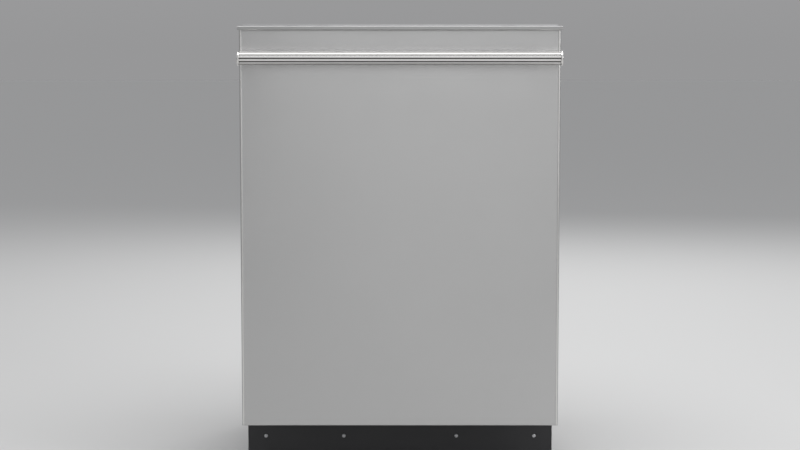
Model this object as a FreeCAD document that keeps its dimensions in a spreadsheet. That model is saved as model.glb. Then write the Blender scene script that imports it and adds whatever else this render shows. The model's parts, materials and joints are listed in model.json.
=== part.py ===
import FreeCAD, Part
import math
import os
import re
import Sketcher
from FreeCAD import Placement, Rotation, Vector

# Built in dishwasher, 24 inch class. +Z is up, the door faces -Y, and the origin is on the floor
# under the middle of the whole machine. All lengths are in millimetres.

DIMENSIONS = (
    # overall
    ("unit_height", 860, "floor to the top of the worktop tabs"),
    ("front_face", 269.25, "door face, in front of the origin"),
    ("rear_face", 330.75, "rear of the felt blanket, behind the origin"),
    ("sheet", 1.5, "steel sheet of the tub, frame and toe kick"),
    ("cover_gap", 0.5, "gap between neighbouring covers"),
    ("sink", 0.5, "depth that one joined shape sinks into another"),
    ("tool_reach", 5, "length that a cutting shape passes beyond the face that it opens"),
    # door panel and cap
    ("door_width", 598, "door panel, side to side"),
    ("door_base", 104, "underside of the door panel"),
    ("panel_height", 745, "door panel, bottom to top"),
    ("panel_depth", 20, "depth of the folded door panel"),
    ("panel_sheet", 1.5, "steel of the door panel"),
    ("panel_edge", 3.5, "outer bend radius down both sides of the panel"),
    ("cap_width", 602, "top cap, side to side"),
    ("cap_height", 7, "thickness of the top cap"),
    ("cap_overhang", 18, "top cap, in front of the door face"),
    ("cap_rear", 221, "rear edge of the top cap, in front of the origin"),
    ("cap_edge", 1.2, "rounding of the cap's front edges"),
    # handle
    ("handle_axis", 797, "height of the bar's centre line"),
    ("handle_reach", 48.2, "door face to the bar's centre line"),
    ("bar_radius", 12.5, "ribbed handle bar"),
    ("bar_length", 588, "ribbed handle bar between its ends"),
    ("flute_radius", 1.6, "grooves between the bar's ribs"),
    ("flute_count", 12, "grooves round the bar"),
    ("end_radius", 13.3, "domed end of the handle"),
    ("end_thick", 5, "domed end of the handle"),
    ("end_round", 2.2, "rounding of the domed end"),
    ("post_width", 37, "handle post, along the bar"),
    ("post_height", 18, "handle post, up and down"),
    ("post_start", 5, "front of the post, behind the bar's centre line"),
    ("post_round", 3, "rounding of the post's long edges"),
    # inner door
    ("liner_face", 217, "inner face of the door, in front of the origin"),
    ("liner_sheet", 1.2, "steel of the inner liner"),
    ("liner_width", 571, "inner liner"),
    ("liner_base", 112, "underside of the inner liner"),
    ("liner_height", 684, "inner liner"),
    ("liner_depth", 31.5, "depth of the folded inner liner"),
    ("seal_width", 540, "rubber seal at the foot of the door"),
    ("seal_depth", 3.3, "rubber seal at the foot of the door"),
    ("seal_height", 6, "rubber seal at the foot of the door"),
    ("seal_base", 153.5, "underside of the door seal"),
    # control fascia, board and keys
    ("fascia_width", 566, "plastic fascia behind the top of the door"),
    ("fascia_base", 798, "underside of the fascia"),
    ("fascia_height", 50.5, "fascia"),
    ("fascia_front", 248.5, "front of the fascia, in front of the origin"),
    ("fascia_back", 219, "back of the fascia, in front of the origin"),
    ("fascia_wall", 2.5, "wall of the fascia"),
    ("board_length", 180, "control board"),
    ("board_width", 22, "control board"),
    ("board_base", 815, "underside of the control board"),
    ("board_thick", 1.6, "control board"),
    ("board_start", 76, "left end of the control board, to the right of the middle"),
    ("board_inset", 4, "control board, behind the front of the fascia"),
    ("chip_count", 5, "parts on the control board"),
    ("chip_start", 86, "first part on the board, to the right of the middle"),
    ("chip_pitch", 33, "distance between the parts on the board"),
    ("chip_front", 242, "parts on the board, in front of the origin"),
    ("chip_length", 14, "part on the board, side to side"),
    ("chip_width", 12, "part on the board, front to back"),
    ("key_line", 236, "keys, in front of the origin"),
    ("key_length", 25, "key cap"),
    ("key_width", 11, "key cap"),
    ("key_base", 838, "underside of the keys"),
    ("key_height", 18.8, "key, standing 0.8 proud of the cap"),
    ("key_lip", 1.5, "retaining lip round the foot of a key"),
    ("key_lip_height", 3, "retaining lip round the foot of a key"),
    ("key_gap", 0.5, "gap round a key in the cap"),
    # latch
    ("latch_half", 46, "half the width of the latch case"),
    ("latch_base", 808, "underside of the latch case"),
    ("latch_height", 38, "latch case"),
    ("latch_front", 247, "front of the latch case, in front of the origin"),
    ("latch_back", 217.5, "mouth of the latch case, in front of the origin"),
    ("mouth_half", 20, "half the width of the latch mouth"),
    ("mouth_base", 822, "underside of the latch mouth"),
    ("mouth_height", 20, "latch mouth"),
    ("mouth_depth", 26, "latch mouth"),
    ("claw_half", 9, "half the width of the claw"),
    ("claw_pivot_line", 238, "claw pivot, in front of the origin"),
    ("claw_pivot_height", 837, "height of the claw pivot"),
    ("claw_pin", 2.5, "radius of the claw pin"),
    ("claw_eye", 2.55, "radius of the hole on the claw pin"),
    ("claw_boss", 4.5, "radius of the claw round its pin"),
    ("claw_arm", 3, "thickness of the claw's arm"),
    ("claw_drop", 4, "underside of the claw's arm, below the pivot"),
    ("claw_reach", 16, "claw pivot to the claw's tip"),
    ("strike_height", 828, "height of the strike bar"),
    ("strike_radius", 2.5, "strike bar"),
    ("strike_half", 14, "half the distance between the strike's prongs"),
    ("strike_tip", 228, "strike bar, in front of the origin"),
    ("strike_root", 200, "rear end of the prongs, in front of the origin"),
    ("strike_overlap", 4, "length that the prongs reach into their plate"),
    ("strike_plate_depth", 24, "strike plate, front to back"),
    ("strike_plate_base", 826.8, "underside of the strike plate"),
    ("strike_plate_height", 8, "strike plate"),
    # dispenser
    ("dispenser_left", 38, "left side of the dispenser, to the left of the middle"),
    ("dispenser_width", 196, "dispenser"),
    ("dispenser_base", 430, "underside of the dispenser"),
    ("dispenser_height", 130, "dispenser"),
    ("dispenser_front", 240, "bottom of the dispenser in the door, in front of the origin"),
    ("dispenser_proud", 202, "tub side of the dispenser, in front of the origin"),
    ("cup_left", 26, "left side of the detergent cup, to the left of the middle"),
    ("cup_width", 92, "detergent cup"),
    ("cup_base", 442, "underside of the detergent cup"),
    ("cup_height", 56, "detergent cup"),
    ("cup_depth", 30, "detergent cup"),
    ("lid_border", 4, "lid beyond the cup, all round"),
    ("lid_thick", 3, "detergent lid"),
    ("lid_grip", 4, "height of the lid's grip bar"),
    ("rinse_centre", 124, "rinse aid cap, to the right of the middle"),
    ("rinse_height", 495, "height of the rinse aid cap"),
    ("rinse_bore", 15, "radius of the rinse aid filler"),
    ("rinse_radius", 22, "rinse aid cap"),
    ("rinse_thick", 6, "rinse aid cap"),
    ("rinse_grip", 36, "length of the rinse aid cap's grip"),
    ("rinse_grip_width", 6, "rinse aid cap's grip"),
    ("rinse_grip_proud", 3, "rinse aid cap's grip, beyond the disc"),
    # hinges
    ("hinge_line", 205, "hinge axis, in front of the origin"),
    ("hinge_height", 150, "height of the hinge axis"),
    ("hinge_pin", 4, "radius of the hinge pin"),
    ("hinge_eye", 4.05, "radius of the hole on the hinge pin"),
    ("arm_side", 286, "inner side of a hinge arm"),
    ("arm_thick", 3, "hinge arm"),
    ("arm_top", 333, "top of the hinge arm"),
    ("arm_boss", 11.5, "radius of the arm round the pin"),
    ("arm_inset", 2, "hinge arm, behind the front of the fascia"),
    ("arm_base", 115, "lower end of the hinge arm's strap"),
    ("arm_depth", 24, "hinge arm's strap, front to back"),
    ("tail_length", 34, "tail of the hinge arm, behind the pin"),
    ("tail_height", 12, "tail of the hinge arm"),
    ("bracket_side", 280.5, "inner side of a hinge bracket"),
    ("bracket_thick", 3.5, "hinge bracket"),
    ("bracket_end", 100, "rear end of the bracket, in front of the origin"),
    ("bracket_boss", 8, "radius of the bracket round the pin"),
    ("bracket_foot_front", 146, "foot of the bracket, in front of the origin"),
    ("bracket_foot_depth", 46, "foot of the bracket"),
    ("bracket_foot_base", 100, "underside of the bracket's foot"),
    ("bracket_foot_height", 58, "foot of the bracket"),
    ("pin_length", 9, "hinge pin"),
    ("spring_side", 289, "centre of a door spring, to each side"),
    ("spring_height", 138, "height of the door springs"),
    ("spring_radius", 5.5, "door spring"),
    ("spring_length", 150, "coiled part of a door spring"),
    ("spring_start", 92, "front end of the coils, in front of the origin"),
    ("hook_radius", 1.5, "wire of the spring's hook"),
    ("hook_length", 66, "straight wire from the coils to the hinge arm"),
    # tub
    ("tub_half", 274, "half the tub's inner width"),
    ("tub_front", 211.5, "front of the tub sheet, in front of the origin"),
    ("tub_rear", 320, "inner face of the tub's back wall, behind the origin"),
    ("tub_floor_top", 160, "tub floor"),
    ("tub_ceiling", 835, "tub ceiling"),
    ("tub_corner", 40, "inner radius of the tub's upper corners"),
    ("floor_thick", 2, "tub floor"),
    ("frame_half", 297, "half the width of the front frame"),
    ("frame_foot", 168, "underside of the frame's legs"),
    ("frame_foot_width", 4, "blocks under the frame's legs"),
    ("frame_foot_height", 8, "blocks under the frame's legs"),
    ("frame_link", 21, "height of the links from the sill to the frame"),
    ("ledge_depth", 18, "folded ledge along the top of the frame"),
    ("sill_base", 153, "underside of the sill"),
    ("sill_top", 166, "top of the sill"),
    ("tab_length", 40, "worktop tab, side to side"),
    ("tab_depth", 32, "worktop tab, front to back"),
    ("tab_centre", 200, "worktop tabs, to each side"),
    ("tab_hole", 2.5, "radius of the screw holes in the tabs"),
    ("tab_hole_inset", 8, "screw holes, from the rear of the tabs"),
    ("gasket_thick", 3.6, "rubber gasket round the tub"),
    ("gasket_width", 11, "rubber gasket round the tub"),
    ("track_inner", 243, "inner side of the wheel tracks"),
    ("track_width", 18, "wheel tracks"),
    ("track_height", 3.6, "wheel tracks on the tub floor"),
    ("track_front", 187.5, "front of the wheel tracks, in front of the origin"),
    ("track_length", 471.5, "wheel tracks"),
    # blanket and air break
    ("felt", 8, "felt of the sound blanket"),
    ("felt_side", 277, "inner side of the side felts"),
    ("felt_side_thick", 12, "side felts"),
    ("felt_front", 140, "front edge of the felt, in front of the origin"),
    ("felt_base", 175, "underside of the side felts"),
    ("felt_top", 838, "underside of the top felt"),
    ("felt_back", 322, "inner side of the rear felt, behind the origin"),
    ("break_front", 40, "front of the air break's window, in front of the origin"),
    ("break_depth", 200, "air break's window, front to back"),
    ("break_base", 300, "underside of the air break's window"),
    ("break_height", 280, "air break's window"),
    ("break_side", 277, "inner side of the air break"),
    ("break_thick", 18, "air break"),
    ("channel_count", 4, "channels in the air break"),
    ("channel_depth", 4, "channels in the air break"),
    ("channel_height", 30, "channels in the air break"),
    ("channel_start", 24, "lowest channel, above the window's underside"),
    ("channel_pitch", 62, "distance between the channels"),
    ("channel_margin", 20, "plain border at the ends of a channel"),
    # base
    ("base_half", 280, "half the width of the base tray"),
    ("base_front", 148, "front of the base tray, in front of the origin"),
    ("base_rear", 322, "rear of the base tray, behind the origin"),
    ("base_bottom", 22, "underside of the base tray"),
    ("base_top", 157.5, "top of the base tray"),
    ("base_wall", 3, "wall of the base tray"),
    ("base_window", 420, "opening in the front of the base tray"),
    ("base_window_base", 52, "underside of that opening"),
    ("base_boss", 30, "height of the bosses for the feet"),
    ("toe_front", 155, "front of the toe kick, in front of the origin"),
    ("toe_base", 6, "underside of the toe kick"),
    ("toe_height", 94, "toe kick"),
    ("toe_fold", 12, "folded lip at the foot of the toe kick"),
    ("foot_side", 250, "levelling feet, to each side"),
    ("foot_front", 118, "front feet, in front of the origin"),
    ("foot_rear", 270, "rear feet, behind the origin"),
    ("foot_pad", 20, "radius of a foot's pad"),
    ("foot_pad_height", 9, "foot's pad"),
    ("foot_stud", 5, "radius of a foot's thread"),
    ("foot_height", 52, "whole foot"),
    ("foot_hole", 5.4, "radius of the hole for a foot"),
    ("foot_notch", 3, "depth of the notches round a foot's pad"),
    ("foot_notches", 6, "notches round a foot's pad"),
    # hydraulics
    ("sump_line", 50, "sump and spray arm axis, behind the origin"),
    ("sump_radius", 92, "inside of the sump"),
    ("sump_base", 58, "underside of the sump"),
    ("sump_wall", 3, "wall of the sump"),
    ("arm_post", 9, "radius of the post that carries the lower arm"),
    ("arm_post_top", 176, "top of that post"),
    ("arm_spigot", 8, "radius of the spigot inside a spray arm's hub"),
    ("collar_height", 19, "spigot on top of the sump's post"),
    ("filter_side", 46, "filter cup, to the right of the sump's axis"),
    ("filter_front", 24, "filter cup, in front of the sump's axis"),
    ("filter_radius", 34, "filter cup"),
    ("filter_base", 92, "underside of the filter cup"),
    ("filter_top", 165, "rim of the filter cup"),
    ("filter_wall", 2, "wall of the filter cup"),
    ("filter_grip", 5, "width of the filter cup's grip"),
    ("filter_grip_height", 8, "filter cup's grip"),
    ("plate_radius", 91.5, "filter plate"),
    ("plate_base", 156, "underside of the filter plate"),
    ("plate_thick", 2.5, "filter plate"),
    ("mesh_radius", 1.1, "drain holes of the filter plate"),
    ("mesh_count", 32, "drain holes in one ring"),
    ("mesh_inset", 4, "ring of drain holes, from the plate's rim"),
    ("pump_height", 92, "height of the wash pump's axis"),
    ("pump_radius", 40, "wash pump"),
    ("pump_start", 98, "left end of the wash pump"),
    ("pump_length", 135, "wash pump"),
    ("motor_radius", 36, "motor of the wash pump"),
    ("volute_length", 45, "wider front part of the wash pump"),
    ("outlet_length", 58, "wash pump's axis to the end of its outlet"),
    ("drain_height", 72, "height of the drain pump's axis"),
    ("drain_radius", 24, "drain pump"),
    ("drain_start", 98, "right end of the drain pump, to the left"),
    ("drain_length", 90, "drain pump"),
    ("hose_radius", 12, "hose from the pump to the riser"),
    ("hose_bend", 42, "bend radius of that hose"),
    ("hose_side", 150, "pump outlet, to the right"),
    ("hose_height", 92, "height of the hose's level run"),
    ("riser_line", 303, "riser tube, behind the origin"),
    ("riser_radius", 11, "riser tube"),
    ("riser_bore", 9, "inside of the riser tube"),
    ("riser_top", 822, "height of the riser's upper branch"),
    ("riser_hub", 14, "radius of the hub over the ceiling arm"),
    ("riser_post_base", 788, "lower end of the ceiling arm's spigot"),
    ("riser_post_length", 28, "ceiling arm's spigot"),
    ("inlet_side", 228, "inlet valve, to the left"),
    ("inlet_height", 92, "height of the inlet stub"),
    ("inlet_radius", 13.2, "three quarter inch inlet thread"),
    ("inlet_width", 44, "body of the inlet valve, side to side and upright"),
    ("inlet_depth", 38, "body of the inlet valve, front to back"),
    ("coil_radius", 14, "coil of the inlet valve"),
    ("coil_height", 30, "coil of the inlet valve"),
    ("drain_stub_side", 150, "drain stub, to the left"),
    ("drain_stub_radius", 9.5, "drain hose stub"),
    ("drain_pipe_radius", 8, "pipe from the drain pump to its stub"),
    ("stub_overlap", 2, "length that a pipe reaches into its stub"),
    ("stub_tip", 328, "ends of the water stubs, behind the origin"),
    ("stub_root", 300, "roots of the water stubs, behind the origin"),
    ("stub_window_left", 272, "left side of the window round the water stubs, to the left"),
    ("stub_window_width", 146, "window round the water stubs"),
    ("stub_window_base", 62, "underside of the window round the water stubs"),
    ("stub_window_height", 62, "window round the water stubs"),
    ("junction_side", 150, "left side of the junction box"),
    ("junction_size", 84, "junction box, side to side"),
    ("junction_front", 144, "front of the junction box, in front of the origin"),
    ("junction_depth", 50, "junction box"),
    ("junction_base", 36, "underside of the junction box"),
    ("junction_height", 48, "junction box"),
    ("junction_wall", 2.5, "junction box"),
    ("knockout", 11, "radius of the junction box knockout"),
    # spray arms
    ("lower_arm_base", 178, "underside of the lower spray arm"),
    ("lower_arm_radius", 222, "lower spray arm"),
    ("upper_arm_base", 484, "underside of the upper spray arm"),
    ("upper_arm_radius", 215, "upper spray arm"),
    ("top_arm_base", 797, "underside of the ceiling spray arm"),
    ("top_arm_radius", 150, "ceiling spray arm"),
    ("arm_width", 44, "spray arm blade"),
    ("arm_blade", 11, "thickness of a spray arm"),
    ("arm_corner", 20, "corner radius of a spray arm"),
    ("hub_height", 13, "spray arm's hub"),
    ("arm_hub", 24, "radius of a spray arm's hub"),
    ("arm_bore", 9.6, "inside of a spray arm's hub"),
    ("nozzle_radius", 2, "spray holes"),
    ("jet_count", 5, "spray holes on each side of the hub"),
    ("jet_start", 0.26, "first spray hole, as a share of the arm's radius"),
    ("jet_pitch", 0.16, "distance between spray holes, as a share of the arm's radius"),
    ("jet_side", 9, "spray holes, to each side of the blade's middle"),
    # racks
    ("wire", 4, "diameter of rack wire"),
    ("weld", 0.85, "distance between crossing wires, as a share of the wire"),
    ("floor_long", 11, "wires of a rack's floor, front to back"),
    ("floor_cross", 9, "wires of a rack's floor, side to side"),
    ("wall_uprights", 9, "upright wires in each wall of a rack"),
    ("wall_rails", 3, "level wires in each wall of a rack"),
    ("rack_half", 243, "half the width of the lower and upper rack"),
    ("rack_front", 172, "front of the lower rack, in front of the origin"),
    ("rack_rear", 284, "rear of the lower rack, behind the origin"),
    ("rack_floor", 208, "floor wires of the lower rack"),
    ("rack_rim", 318, "upper wires of the lower rack"),
    ("wheel_radius", 18, "rack wheels"),
    ("wheel_width", 10, "rack wheels"),
    ("wheel_bore", 3.3, "inside of a rack wheel"),
    ("axle_radius", 3.25, "axle of a rack wheel"),
    ("wheel_height", 182, "height of the wheel axles"),
    ("wheel_side", 248.5, "inner side of the rack wheels"),
    ("wheel_front", 120, "front wheels, in front of the origin"),
    ("wheel_rear", 230, "rear wheels, behind the origin"),
    ("clip_inset", 5.8, "inner side of a wheel clip, inward of the rack's side"),
    ("clip_thick", 3.6, "wheel clip"),
    ("clip_width", 26, "wheel clip, front to back"),
    ("clip_rise", 16, "top of a wheel clip, above the rack's floor wires"),
    ("clip_drop", 12, "foot of a wheel clip, below the axle"),
    ("axle_end", 2, "axle beyond its wheel"),
    ("tine_side", 120, "folding tine rows, to each side"),
    ("tine_base", 218, "height of the tine rows' axes"),
    ("tine_length", 84, "tines"),
    ("tine_pitch", 36, "distance between tines"),
    ("tine_count", 11, "tines in a row"),
    ("tine_rod_end", 8, "tine rod beyond the first and last tine"),
    ("upper_front", 184, "front of the upper rack, in front of the origin"),
    ("upper_rear", 274, "rear of the upper rack, behind the origin"),
    ("upper_floor", 520, "floor wires of the upper rack"),
    ("upper_rim", 640, "upper wires of the upper rack"),
    ("upper_half", 237, "half the width of the upper rack"),
    ("rail_side", 266, "inner side of the fixed rails"),
    ("rail_thick", 7.6, "fixed rails"),
    ("rail_height", 24, "fixed rails"),
    ("rail_base", 505, "underside of the fixed rails"),
    ("rail_front", 195, "front of the rails, in front of the origin"),
    ("rail_length", 480, "fixed rails"),
    ("rail_web", 2, "wall of the fixed rails"),
    ("slide_side", 257, "inner side of the middle rails"),
    ("slide_thick", 8.6, "middle rails"),
    ("slide_height", 16, "middle rails"),
    ("slide_base", 509, "underside of the middle rails"),
    ("slide_length", 460, "middle rails"),
    ("runner_side", 247.5, "inner side of the upper rack's runners"),
    ("runner_thick", 9, "upper rack's runners"),
    ("hanger_thick", 3, "plates that hang the upper rack on its runners"),
    ("hanger_inset", 1, "hanger plates, outward of the runner's inner side"),
    ("hanger_height", 46, "hanger plates"),
    ("hanger_rise", 8, "hanger plates, above the underside of the middle rails"),
    ("hanger_share", 0.7, "length of a hanger plate, as a share of the runner"),
    ("manifold_height", 506, "height of the upper arm's feed tube"),
    ("manifold_radius", 9, "upper arm's feed tube"),
    ("manifold_tip", 480, "lower end of the upper arm's spigot"),
    ("shelf_axis", 604, "height of the cup shelves' axes"),
    ("shelf_side", 229, "cup shelves' axes, to each side"),
    ("shelf_reach", 100, "cup shelves"),
    ("shelf_front", 150, "front of the cup shelves, in front of the origin"),
    ("shelf_length", 380, "cup shelves"),
    ("shelf_thick", 4, "cup shelves"),
    ("shelf_pin_radius", 3.5, "rounded edge that a cup shelf turns on"),
    ("louvre_count", 7, "openings in a cup shelf"),
    ("louvre_root", 14, "openings, from the edge that turns"),
    ("louvre_tip", 8, "openings, from the free edge"),
    ("louvre_start", 16, "first opening, from the front of the shelf"),
    ("louvre_pitch", 51, "distance between the openings"),
    ("louvre_length", 36, "openings, front to back"),
    ("tray_rail_base", 756, "underside of the cutlery tray's rails"),
    ("tray_rail", 4, "thickness and inward reach of the cutlery tray's rails"),
    ("tray_base", 744, "underside of the cutlery tray"),
    ("tray_height", 34, "cutlery tray"),
    ("tray_half", 257, "half the width of the cutlery tray"),
    ("tray_front", 184, "front of the cutlery tray, in front of the origin"),
    ("tray_length", 460, "cutlery tray"),
    ("tray_wall", 2.5, "walls of the cutlery tray"),
    ("tray_lip", 8, "lips that run in the tray's rails"),
    ("tray_lip_height", 5, "lips that run in the tray's rails"),
    ("tray_slots", 14, "slots in the floor of the cutlery tray"),
    ("tray_slot", 22, "width of a slot"),
    ("tray_slot_start", 12, "first slot, from the left side of the tray"),
    ("tray_slot_pitch", 36, "distance between the slots"),
    ("tray_margin", 20, "slots, from the front and rear of the tray"),
    # screws
    ("screw_radius", 3.6, "screw heads"),
    ("screw_height", 2, "screw heads"),
    ("frame_screw_side", 291, "screws of the front frame, to each side"),
    ("toe_screw_height", 60, "height of the toe kick's screws"),
    ("door_screw_line", 235, "screws in the door's sides, in front of the origin"),
)

KEYS = (("key_power", -205), ("key_program", -150), ("key_start", 205))
CHIP_HEIGHTS = (4, 7, 10)
FRAME_SCREW_HEIGHTS = (240, 500, 760)
TOE_SCREW_SIDES = (262, 110)
DOOR_SCREW_HEIGHTS = (400, 560, 720)

# Two measured places closer than NEAR are the same place.
NEAR = 0.1
# A cut that removes less than LEAST_CUT cubic millimetres has missed its target.
LEAST_CUT = 0.01
# An edge runs along an axis when this much of its direction lies along it.
PARALLEL = 0.999
# A swept tube's volume may differ by this share from its section times its length.
SWEEP_SLACK = 0.01

doc = FreeCAD.newDocument("dishwasher")
dims = doc.addObject("Spreadsheet::Sheet", "dims")
for row, (alias, value, note) in enumerate(DIMENSIONS, start=1):
    dims.set(f"A{row}", note)
    dims.set(f"B{row}", str(value))
    dims.setAlias(f"B{row}", alias)
doc.recompute()

ALIASES = {alias for alias, value, note in DIMENSIONS}
NODES = []


def formula(text):
    """Turns 'door_width / 2' into an expression on the sheet's aliases."""
    return re.sub(r"[a-z_]+", lambda w: "dims." + w[0] if w[0] in ALIASES else w[0], str(text))


def dim(alias):
    """The value of one cell, for the pieces that are made in code."""
    return float(dims.get(alias))


def number_of(alias):
    return int(dim(alias))


def bind(obj, **formulas):
    for prop, text in formulas.items():
        obj.setExpression(prop, formula(text))
    return obj


def place(obj, at):
    for axis, text in zip("xyz", at):
        obj.setExpression(f"Placement.Base.{axis}", formula(text))
    return obj


def node(obj, label):
    """Marks an object as a finished sub-part."""
    obj.Label = label
    NODES.append(obj)
    return obj


# ---- Part primitives and booleans, bound to the sheet ----

def box(name, size, at):
    obj = doc.addObject("Part::Box", name)
    bind(obj, Length=size[0], Width=size[1], Height=size[2])
    return place(obj, at)


def middle_box(name, size, at):
    """A box whose middle, side to side, is at x = at[0]."""
    return box(name, size, (f"{at[0]} - ({size[0]}) / 2", at[1], at[2]))


TURNS = {
    "x": Rotation(Vector(0, 1, 0), 90),
    "y": Rotation(Vector(1, 0, 0), -90),
    "z": Rotation(),
}


def cylinder(name, radius, length, at, along="z"):
    obj = doc.addObject("Part::Cylinder", name)
    bind(obj, Radius=radius, Height=length)
    obj.Placement = Placement(Vector(), TURNS[along])
    return place(obj, at)


def fused(name, *pieces):
    obj = doc.addObject("Part::MultiFuse", name)
    obj.Shapes = list(pieces)
    obj.Refine = True
    return obj


def cut(name, base, *tools):
    obj = doc.addObject("Part::Cut", name)
    obj.Base = base
    obj.Tool = tools[0] if len(tools) == 1 else fused(name + "_tools", *tools)
    return obj


def group(name, *pieces):
    """Several separate solids that share one node."""
    obj = doc.addObject("Part::Compound", name)
    obj.Links = list(pieces)
    return obj


# ---- PartDesign bodies ----

def new_body(label):
    return node(doc.addObject("PartDesign::Body", label), label)


def origin_feature(body, role):
    return next(f for f in body.Origin.OriginFeatures if f.Role == role)


def new_sketch(body, plane, offset="0"):
    """A sketch on one of the body's origin planes, moved along that plane's normal."""
    sketch = body.newObject("Sketcher::SketchObject", body.Label + "_sketch")
    sketch.AttachmentSupport = [(origin_feature(body, plane + "_Plane"), "")]
    sketch.MapMode = "FlatFace"
    sketch.setExpression("AttachmentOffset.Base.z", formula(offset))
    return sketch


def pin_point(sketch, index, end, point):
    for kind, text in zip(("DistanceX", "DistanceY"), point):
        where = Vector(sketch.getPoint(index, end))
        value = where.x if kind == "DistanceX" else where.y
        number = sketch.addConstraint(Sketcher.Constraint(kind, index, end, value))
        sketch.setExpression(f"Constraints[{number}]", formula(text))


def start_value(text):
    """A first guess for a sketch point: its formula, worked out with the sheet's values."""
    value = dims.evalExpression(formula(text))
    return float(getattr(value, "Value", value))


def outline(sketch, points):
    """A closed outline of straight lines through points given as formulas."""
    spots = [Vector(start_value(a), start_value(b), 0) for a, b in points]
    count = len(spots)
    for i in range(count):
        sketch.addGeometry(Part.LineSegment(spots[i], spots[(i + 1) % count]), False)
    for i in range(count):
        sketch.addConstraint(Sketcher.Constraint("Coincident", i, 2, (i + 1) % count, 1))
    for i, point in enumerate(points):
        pin_point(sketch, i, 1, point)


def rectangle(sketch, corner, size):
    left, low = corner
    right = f"({left}) + ({size[0]})"
    high = f"({low}) + ({size[1]})"
    outline(sketch, [(left, low), (right, low), (right, high), (left, high)])


def circle(sketch, centre, radius):
    spot = Vector(start_value(centre[0]), start_value(centre[1]), 0)
    index = sketch.addGeometry(Part.Circle(spot, Vector(0, 0, 1), start_value(radius)), False)
    number = sketch.addConstraint(Sketcher.Constraint("Radius", index, start_value(radius)))
    sketch.setExpression(f"Constraints[{number}]", formula(radius))
    pin_point(sketch, index, 3, centre)


def pad(body, sketch, length, reverse=False, both=False):
    feature = body.newObject("PartDesign::Pad", body.Label + "_pad")
    feature.Profile = sketch
    feature.setExpression("Length", formula(length))
    feature.Reversed = reverse
    feature.Midplane = both
    doc.recompute()
    return feature


def pocket(body, sketch, length, reverse=False, both=False):
    before = body.Shape.Volume
    feature = body.newObject("PartDesign::Pocket", body.Label + "_pocket")
    feature.Profile = sketch
    feature.setExpression("Length", formula(length))
    feature.Reversed = reverse
    feature.Midplane = both
    doc.recompute()
    if not body.Shape.Volume < before - LEAST_CUT:
        raise RuntimeError(f"{body.Label}: a pocket cut nothing")
    return feature


def round_edges(body, radius, wanted):
    """Fillets the edges of the body for which wanted(edge) is true."""
    base = body.Tip
    names = [f"Edge{i}" for i, e in enumerate(base.Shape.Edges, start=1) if wanted(e)]
    feature = body.newObject("PartDesign::Fillet", body.Label + "_round")
    feature.Base = (base, names)
    feature.setExpression("Radius", formula(radius))
    doc.recompute()
    if not names or "Invalid" in feature.State or not feature.Shape.isValid():
        raise RuntimeError(f"{body.Label}: {len(names)} edges could not be rounded")
    return feature


def ring_pattern(body, features, axis, count):
    """Repeats features round one of the body's own axes."""
    pattern = body.newObject("PartDesign::PolarPattern", body.Label + "_ring")
    pattern.Originals = features
    pattern.Axis = (origin_feature(body, axis + "_Axis"), [""])
    pattern.Angle = 360
    pattern.setExpression("Occurrences", formula(count))
    body.Tip = pattern
    doc.recompute()
    return pattern


def runs_along(edge, axis):
    """True for a straight edge that runs along the axis 'x', 'y' or 'z'."""
    if edge.Curve.TypeId != "Part::GeomLine":
        return False
    step = edge.Vertexes[-1].Point - edge.Vertexes[0].Point
    return abs(getattr(step.normalize(), axis)) > PARALLEL


def middle_of(edge):
    return edge.BoundBox.Center


# ---- door: outer skin ----

def door_panel():
    body = new_body("door_panel")
    face = new_sketch(body, "XZ", "front_face")
    rectangle(face, ("-door_width / 2", "door_base"), ("door_width", "panel_height"))
    pad(body, face, "panel_depth", reverse=True)
    front = -dim("front_face")
    round_edges(body, "panel_edge",
                lambda e: runs_along(e, "z") and abs(middle_of(e).y - front) < NEAR)
    back = new_sketch(body, "XZ", "front_face - panel_depth")
    rectangle(back, ("panel_sheet - door_width / 2", "door_base + panel_sheet"),
              ("door_width - 2 * panel_sheet", "panel_height - 2 * panel_sheet"))
    pocket(body, back, "panel_depth - panel_sheet", reverse=True)


def door_cap():
    body = new_body("door_cap")
    face = new_sketch(body, "XZ", "front_face + cap_overhang")
    rectangle(face, ("-cap_width / 2", "door_base + panel_height"), ("cap_width", "cap_height"))
    pad(body, face, "front_face + cap_overhang - cap_rear", reverse=True)
    front = -dim("front_face") - dim("cap_overhang")
    round_edges(body, "cap_edge",
                lambda e: runs_along(e, "x") and abs(middle_of(e).y - front) < NEAR)
    for label, centre in KEYS:
        hole = new_sketch(body, "XY", "door_base + panel_height")
        rectangle(hole, (f"{centre} - key_length / 2 - key_gap", "-key_line - key_width / 2 - key_gap"),
                  ("key_length + 2 * key_gap", "key_width + 2 * key_gap"))
        pocket(body, hole, "cap_height", reverse=True)


def key(label, centre):
    body = new_body(label)
    lip = new_sketch(body, "XY", "key_base")
    rectangle(lip, (f"{centre} - key_length / 2 - key_lip", "-key_line - key_width / 2 - key_lip"),
              ("key_length + 2 * key_lip", "key_width + 2 * key_lip"))
    pad(body, lip, "key_lip_height")
    cap = new_sketch(body, "XY", "key_base")
    rectangle(cap, (f"{centre} - key_length / 2", "-key_line - key_width / 2"), ("key_length", "key_width"))
    pad(body, cap, "key_height")
    top = dim("key_base") + dim("key_height")
    round_edges(body, "key_gap", lambda e: abs(middle_of(e).z - top) < NEAR)


# ---- handle ----

def at_bar(body):
    place(body, ("0", "-front_face - handle_reach", "handle_axis"))


def handle_bar():
    body = new_body("handle_bar")
    section = new_sketch(body, "YZ")
    circle(section, ("0", "0"), "bar_radius")
    pad(body, section, "bar_length", both=True)
    flute = new_sketch(body, "YZ")
    circle(flute, ("-bar_radius - flute_radius / 3", "0"), "flute_radius")
    groove = pocket(body, flute, "bar_length + 2 * tool_reach", both=True)
    ring_pattern(body, [groove], "X", "flute_count")
    at_bar(body)


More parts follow.
